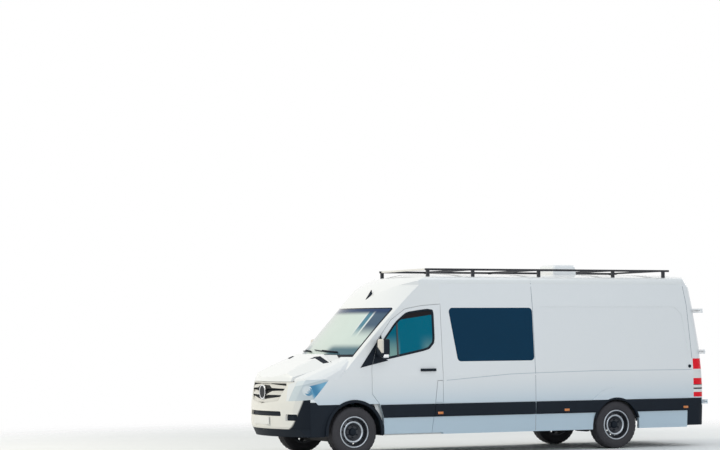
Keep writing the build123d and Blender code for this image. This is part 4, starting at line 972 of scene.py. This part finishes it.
# Antenna foot on the cab roof: distance behind its middle, half width and height of each section
FIN_BACK = 0.575
FIN_Y = 0.285
FIN_SECTIONS = ((-0.055, 0.006, 0.0), (-0.03, 0.034, 0.014), (0.0, 0.042, 0.036), (0.03, 0.036, 0.056),
                (0.045, 0.020, 0.058))
FIN_SUNK = 0.006
FIN_SHOULDER_WIDTH = 0.45
FIN_SHOULDER_HEIGHT = 0.6


def antenna_foot():
    """Fin that rises to the rear."""
    bm = bmesh.new()
    sections = []
    for behind, half, rise in FIN_SECTIONS:
        foot = roof_skin.ray_cast(place(FIN_BACK + behind, FIN_Y, FAR), Vector((0, 0, -1)))[0]
        shoulder = (half * FIN_SHOULDER_WIDTH, rise * FIN_SHOULDER_HEIGHT)
        profile = ((-half, -FIN_SUNK), (-shoulder[0], shoulder[1]), (0, rise), shoulder, (half, -FIN_SUNK))
        sections.append([bm.verts.new(foot + Vector((0, y, z))) for y, z in profile])
    for first, second in zip(sections, sections[1:]):
        band(bm, first, second, closed=False)
    bm.faces.new(sections[-1])
    make("antenna_foot", bm, black, "van_body")


# Reflectors inside the headlamps: Y, Z and radius of each. A line from the front corner that passes
# through that Y and Z at REFLECTOR_AHEAD finds the lens in front of the reflector
LAMP_REFLECTORS = ((0.715, 0.925, 0.062), (0.815, 0.945, 0.046))
REFLECTOR_AHEAD = 0.85
REFLECTOR_OUTWARDS = 0.35
REFLECTOR_DEPTH = 0.022
REFLECTOR_BOWL = ((0.0, 1.0), (-0.010, 0.97), (-0.016, 0.80), (-0.022, 0.50), (-0.025, 0.20),
                  (-0.025, 0.01))
BOWL_SEGMENTS = 40
BULB_SEGMENTS = 16
BULB_RINGS = 10
BULB_SHARE = 0.42
BULB_SCALE = 0.8
BULB_DEPTH = 0.012


def lamp_reflectors(side, side_name):
    """Bowls with round bulbs in the headlamp of one side."""
    skin = skin_of("headlamps")
    view = Vector((-1, -side * REFLECTOR_OUTWARDS, 0)).normalized()
    turn = (-view).to_track_quat("Y", "Z")
    bm = bmesh.new()
    for y, z, radius in LAMP_REFLECTORS:
        start = place(-REFLECTOR_AHEAD, side * y, z) - view
        centre = skin.ray_cast(start, view)[0] + view * REFLECTOR_DEPTH
        bulb = bmesh.ops.create_uvsphere(bm, u_segments=BULB_SEGMENTS, v_segments=BULB_RINGS,
                                         radius=radius * BULB_SHARE)
        for vertex in bulb["verts"]:
            vertex.co = centre + view * BULB_DEPTH + turn @ (vertex.co * BULB_SCALE)
        section = [(offset, share * radius) for offset, share in REFLECTOR_BOWL]
        for vertex in lathe(bm, section, Vector((0, 0, 0)), 1, BOWL_SEGMENTS, closed=False):
            vertex.co = centre + turn @ vertex.co
    make("lamp_reflectors_" + side_name, bm, chrome, "van_body")


# Rear doors: two corners of each piece, as its distance behind the doors' flat face, Y and Z
REAR_FACE_BACK = 5.926
REAR_PLATE = ((0.0025, 0.12, 0.782), (-0.003, 0.64, 0.892))
PLATE_LAMP_BAR = ((0.003, 0.14, 0.906), (-0.010, 0.62, 0.930))
REAR_HANDLE = ((0.001, -0.09, 1.02), (-0.035, -0.33, 1.06))
BRAKE_LAMP_Z = 2.485
BRAKE_LAMP_LOW = Vector((-0.006, -0.16, -0.012))
BRAKE_LAMP_HIGH = Vector((0.02, 0.16, 0.012))
BAR_BEVEL = 0.002
HANDLE_BEVEL = 0.004


def rear_pieces():
    """Blank plate with its lamp bar, handle, and the high brake lamp."""
    plate_ends, bar_ends, handle_ends = ([place(REAR_FACE_BACK + behind, y, z) for behind, y, z in corners]
                                         for corners in (REAR_PLATE, PLATE_LAMP_BAR, REAR_HANDLE))
    block("blank_plate_rear", *plate_ends, PLATE_BEVEL, plate, "rear_door_left", "bumper_paint", 1,
          smooth=False)
    block("plate_lamp_bar", *bar_ends, BAR_BEVEL, black, "rear_door_left", "black_plastic")
    block("rear_handle", *handle_ends, HANDLE_BEVEL, black, "rear_door_right", "black_plastic")
    tail = roof_skin.ray_cast(Vector((-FAR, 0, BRAKE_LAMP_Z)), Vector((1, 0, 0)))[0]
    block("high_brake_lamp", tail + BRAKE_LAMP_LOW, tail + BRAKE_LAMP_HIGH, HANDLE_BEVEL, red_lens,
          "van_body", "rear_lens")


# Handle of the sliding door: how far it stands proud of the door and is sunk in it, and its ends
SLIDE_HANDLE_PROUD = 0.022
SLIDE_HANDLE_SUNK = 0.01
SLIDE_HANDLE_BACK = (1.53, 1.71)
SLIDE_HANDLE_Z = (1.183, 1.217)
SLIDE_HANDLE_BEVEL = 0.008


def slide_handle():
    """Grip on the right side."""
    skin_y = side_hit(side_skin, sum(SLIDE_HANDLE_BACK) / 2, sum(SLIDE_HANDLE_Z) / 2, -1)[0].y
    low = place(SLIDE_HANDLE_BACK[0], skin_y - SLIDE_HANDLE_PROUD, SLIDE_HANDLE_Z[0])
    high = place(SLIDE_HANDLE_BACK[1], skin_y + SLIDE_HANDLE_SUNK, SLIDE_HANDLE_Z[1])
    block("slide_handle", low, high, SLIDE_HANDLE_BEVEL, black, "van_body", "black_plastic")


# Front seats: soft pads on rigid bases. Each pad has its distance behind the front axle and its height,
# its half sizes and its lean in degrees
SEAT_Y = 0.43
SEAT_PADS = (
    ((0.935, 0.985), (0.245, 0.232, 0.078), -3.5),
    ((1.243, 1.335), (0.062, 0.232, 0.370), -11.5),
    ((1.335, 1.775), (0.046, 0.132, 0.115), -11.0),
)
PAD_ROUNDNESS = 0.28
SEAT_BASE_HALF = 0.19
SEAT_BASE_BACK = (1.17, 0.77)
SEAT_BASE_Z = (0.6805, 0.915)
SEAT_BASE_BEVEL = 0.02
HEADREST_POST = ((1.300, 1.60), (1.330, 1.74))
POST_Y = 0.05
POST_RADIUS = 0.006


def pillow(bm, centre, half, lean, rings=22, spokes=44):
    """Crowned closed cushion: a rounded block whose faces bulge, leaned back by an angle."""
    def bent(value):
        return math.copysign(abs(value) ** PAD_ROUNDNESS, value)
    turn = Matrix.Rotation(lean, 3, "Y")
    grid = []
    for i in range(1, rings):
        tall = math.pi * i / rings - math.pi / 2
        row = []
        for j in range(spokes):
            angle = 2 * math.pi * j / spokes
            local = Vector((bent(math.cos(tall)) * bent(math.cos(angle)) * half[0],
                            bent(math.cos(tall)) * bent(math.sin(angle)) * half[1],
                            bent(math.sin(tall)) * half[2]))
            row.append(bm.verts.new(centre + turn @ local))
        grid.append(row)
    for first, second in zip(grid, grid[1:]):
        band(bm, first, second, closed=True)
    for row, sign in ((grid[0], -1), (grid[-1], 1)):
        pole = bm.verts.new(centre + turn @ Vector((0, 0, sign * half[2])))
        for j in range(spokes):
            bm.faces.new((row[j], row[(j + 1) % spokes], pole))


def seats():
    """Pads of both seats as one piece, and their bases with the headrest posts as another."""
    pads = bmesh.new()
    bases = bmesh.new()
    for y in (SEAT_Y, -SEAT_Y):
        for (back, z), half, lean in SEAT_PADS:
            pillow(pads, place(back, y, z), half, math.radians(lean))
        low = place(SEAT_BASE_BACK[0], y - SEAT_BASE_HALF, SEAT_BASE_Z[0])
        high = place(SEAT_BASE_BACK[1], y + SEAT_BASE_HALF, SEAT_BASE_Z[1])
        box(bases, low, high, SEAT_BASE_BEVEL)
        for post_y in (y - POST_Y, y + POST_Y):
            rod(bases, [place(back, post_y, z) for back, z in HEADREST_POST], POST_RADIUS)
    seat_pads = make("seat_pads", pads, cloth, "van_body")
    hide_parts("front_seats")
    make("seat_bases", bases, cabin, "van_body")


def both_sides(build):
    """Build a piece on the left and on the right."""
    for side, side_name in SIDES:
        build(side, side_name)


for label, (back, side) in WHEELS.items():
    wheel(label, back, side)
both_sides(marker_lamps)
front_plate()
both_sides(side_seams)
roof_seam()
both_sides(window_rubber)
both_sides(mirror_pieces)
wipers()
antenna_foot()
both_sides(lamp_reflectors)
rear_pieces()
slide_handle()
seats()

# Camera, at the photograph's viewing angle: angles in radians, place in metres
YAW, PITCH, ROLL = 0.453247740, 0.0513261386, -0.00768228959
CAMERA_PLACE = (15.9145, 28.7975, 1.6655)
CAMERA_LENS = 110
SENSOR_WIDTH = 36
CLIP_END = 200


def set_camera():
    """Camera from its yaw, pitch and roll."""
    forward = Vector((-math.sin(YAW) * math.cos(PITCH), -math.cos(YAW) * math.cos(PITCH), math.sin(PITCH)))
    level_right = Vector((-math.cos(YAW), math.sin(YAW), 0))
    level_up = level_right.cross(forward)
    right = math.cos(ROLL) * level_right + math.sin(ROLL) * level_up
    up = -math.sin(ROLL) * level_right + math.cos(ROLL) * level_up
    data = bpy.data.cameras.new("camera")
    data.lens = CAMERA_LENS
    data.sensor_width = SENSOR_WIDTH
    data.clip_end = CLIP_END
    camera = bpy.data.objects.new("camera", data)
    bpy.context.scene.collection.objects.link(camera)
    turn = Matrix((right, up, -forward)).transposed().to_4x4()
    camera.matrix_world = Matrix.Translation(CAMERA_PLACE) @ turn
    bpy.context.scene.camera = camera


# Light and backdrop: each lamp has its name, place, target, width, power and colour, and the world has
# its colour and strength as a light and as what the camera sees
AREA_LIGHTS = (
    ("key", (14, -5, 11), (2.5, 0, 1.4), 5, 1350, (1.0, 0.925, 0.76)),
    ("fill", (4, 16, 7), (0.5, 0, 1.2), 10, 520, (0.90, 0.95, 1.0)),
    ("top", (-2, 2, 12), (0, 0, 1.5), 9, 260, (1.0, 1.0, 1.0)),
    ("back", (-13, -6, 8), (0, 0, 1.2), 6, 300, (1.0, 0.98, 0.95)),
)
WORLD_LIGHT = ((0.82, 0.92, 1.0, 1), 0.52)
WORLD_SEEN = ((1, 1, 1, 1), 1.0)
FLOOR_HALF = 60
FLOOR_FADE = (4.5, 13.0)


def area_light(name, location, target, size, power, colour):
    """Round soft lamp that points at a target."""
    data = bpy.data.lights.new(name, "AREA")
    data.shape = "DISK"
    data.size = size
    data.energy = power
    data.color = colour
    lamp = bpy.data.objects.new(name, data)
    bpy.context.scene.collection.objects.link(lamp)
    lamp.location = location
    lamp.rotation_euler = (Vector(target) - Vector(location)).to_track_quat("-Z", "Y").to_euler()


def studio_world():
    """World that is white to the camera, mirrors and glass, and a pale soft light to the rest."""
    world = bpy.data.worlds.new("studio")
    bpy.context.scene.world = world
    world.use_nodes = True
    tree, wire = links(world)
    tree.clear()
    backgrounds = []
    for colour, strength in (WORLD_LIGHT, WORLD_SEEN):
        node = tree.new("ShaderNodeBackground")
        node.inputs["Color"].default_value = colour
        node.inputs["Strength"].default_value = strength
        backgrounds.append(node.outputs[0])
    path = tree.new("ShaderNodeLightPath")
    rays = [path.outputs[kind] for kind in ("Is Camera Ray", "Is Glossy Ray", "Is Transmission Ray")]
    mix = mix_shader(world, combine(world, *rays, operation="MAXIMUM"), *backgrounds)
    result = tree.new("ShaderNodeOutputWorld")
    wire.new(mix.outputs[0], result.inputs["Surface"])


def studio_floor():
    """Pale floor that fades out into the white world."""
    bm = bmesh.new()
    bmesh.ops.create_grid(bm, x_segments=1, y_segments=1, size=FLOOR_HALF)
    mesh = bpy.data.meshes.new("studio_floor")
    bm.to_mesh(mesh)
    bm.free()
    floor_piece = bpy.data.objects.new("studio_floor", mesh)
    bpy.context.scene.collection.objects.link(floor_piece)
    material = surface("studio_floor", (0.80, 0.80, 0.79), (0.84, 0.84, 0.83), 0.5, 0.7, 0.05)
    tree, wire = links(material)
    far_away = fade(material, measure(material, "LENGTH", object_point(material)), *FLOOR_FADE)
    clear = tree.new("ShaderNodeBsdfTransparent")
    blend = mix_shader(material, far_away, tree["Principled BSDF"].outputs[0], clear.outputs[0])
    wire.new(blend.outputs[0], tree["Material Output"].inputs["Surface"])
    mesh.materials.append(material)


set_camera()
for light in AREA_LIGHTS:
    area_light(*light)
studio_world()
studio_floor()
bpy.context.scene.view_settings.view_transform = "Standard"
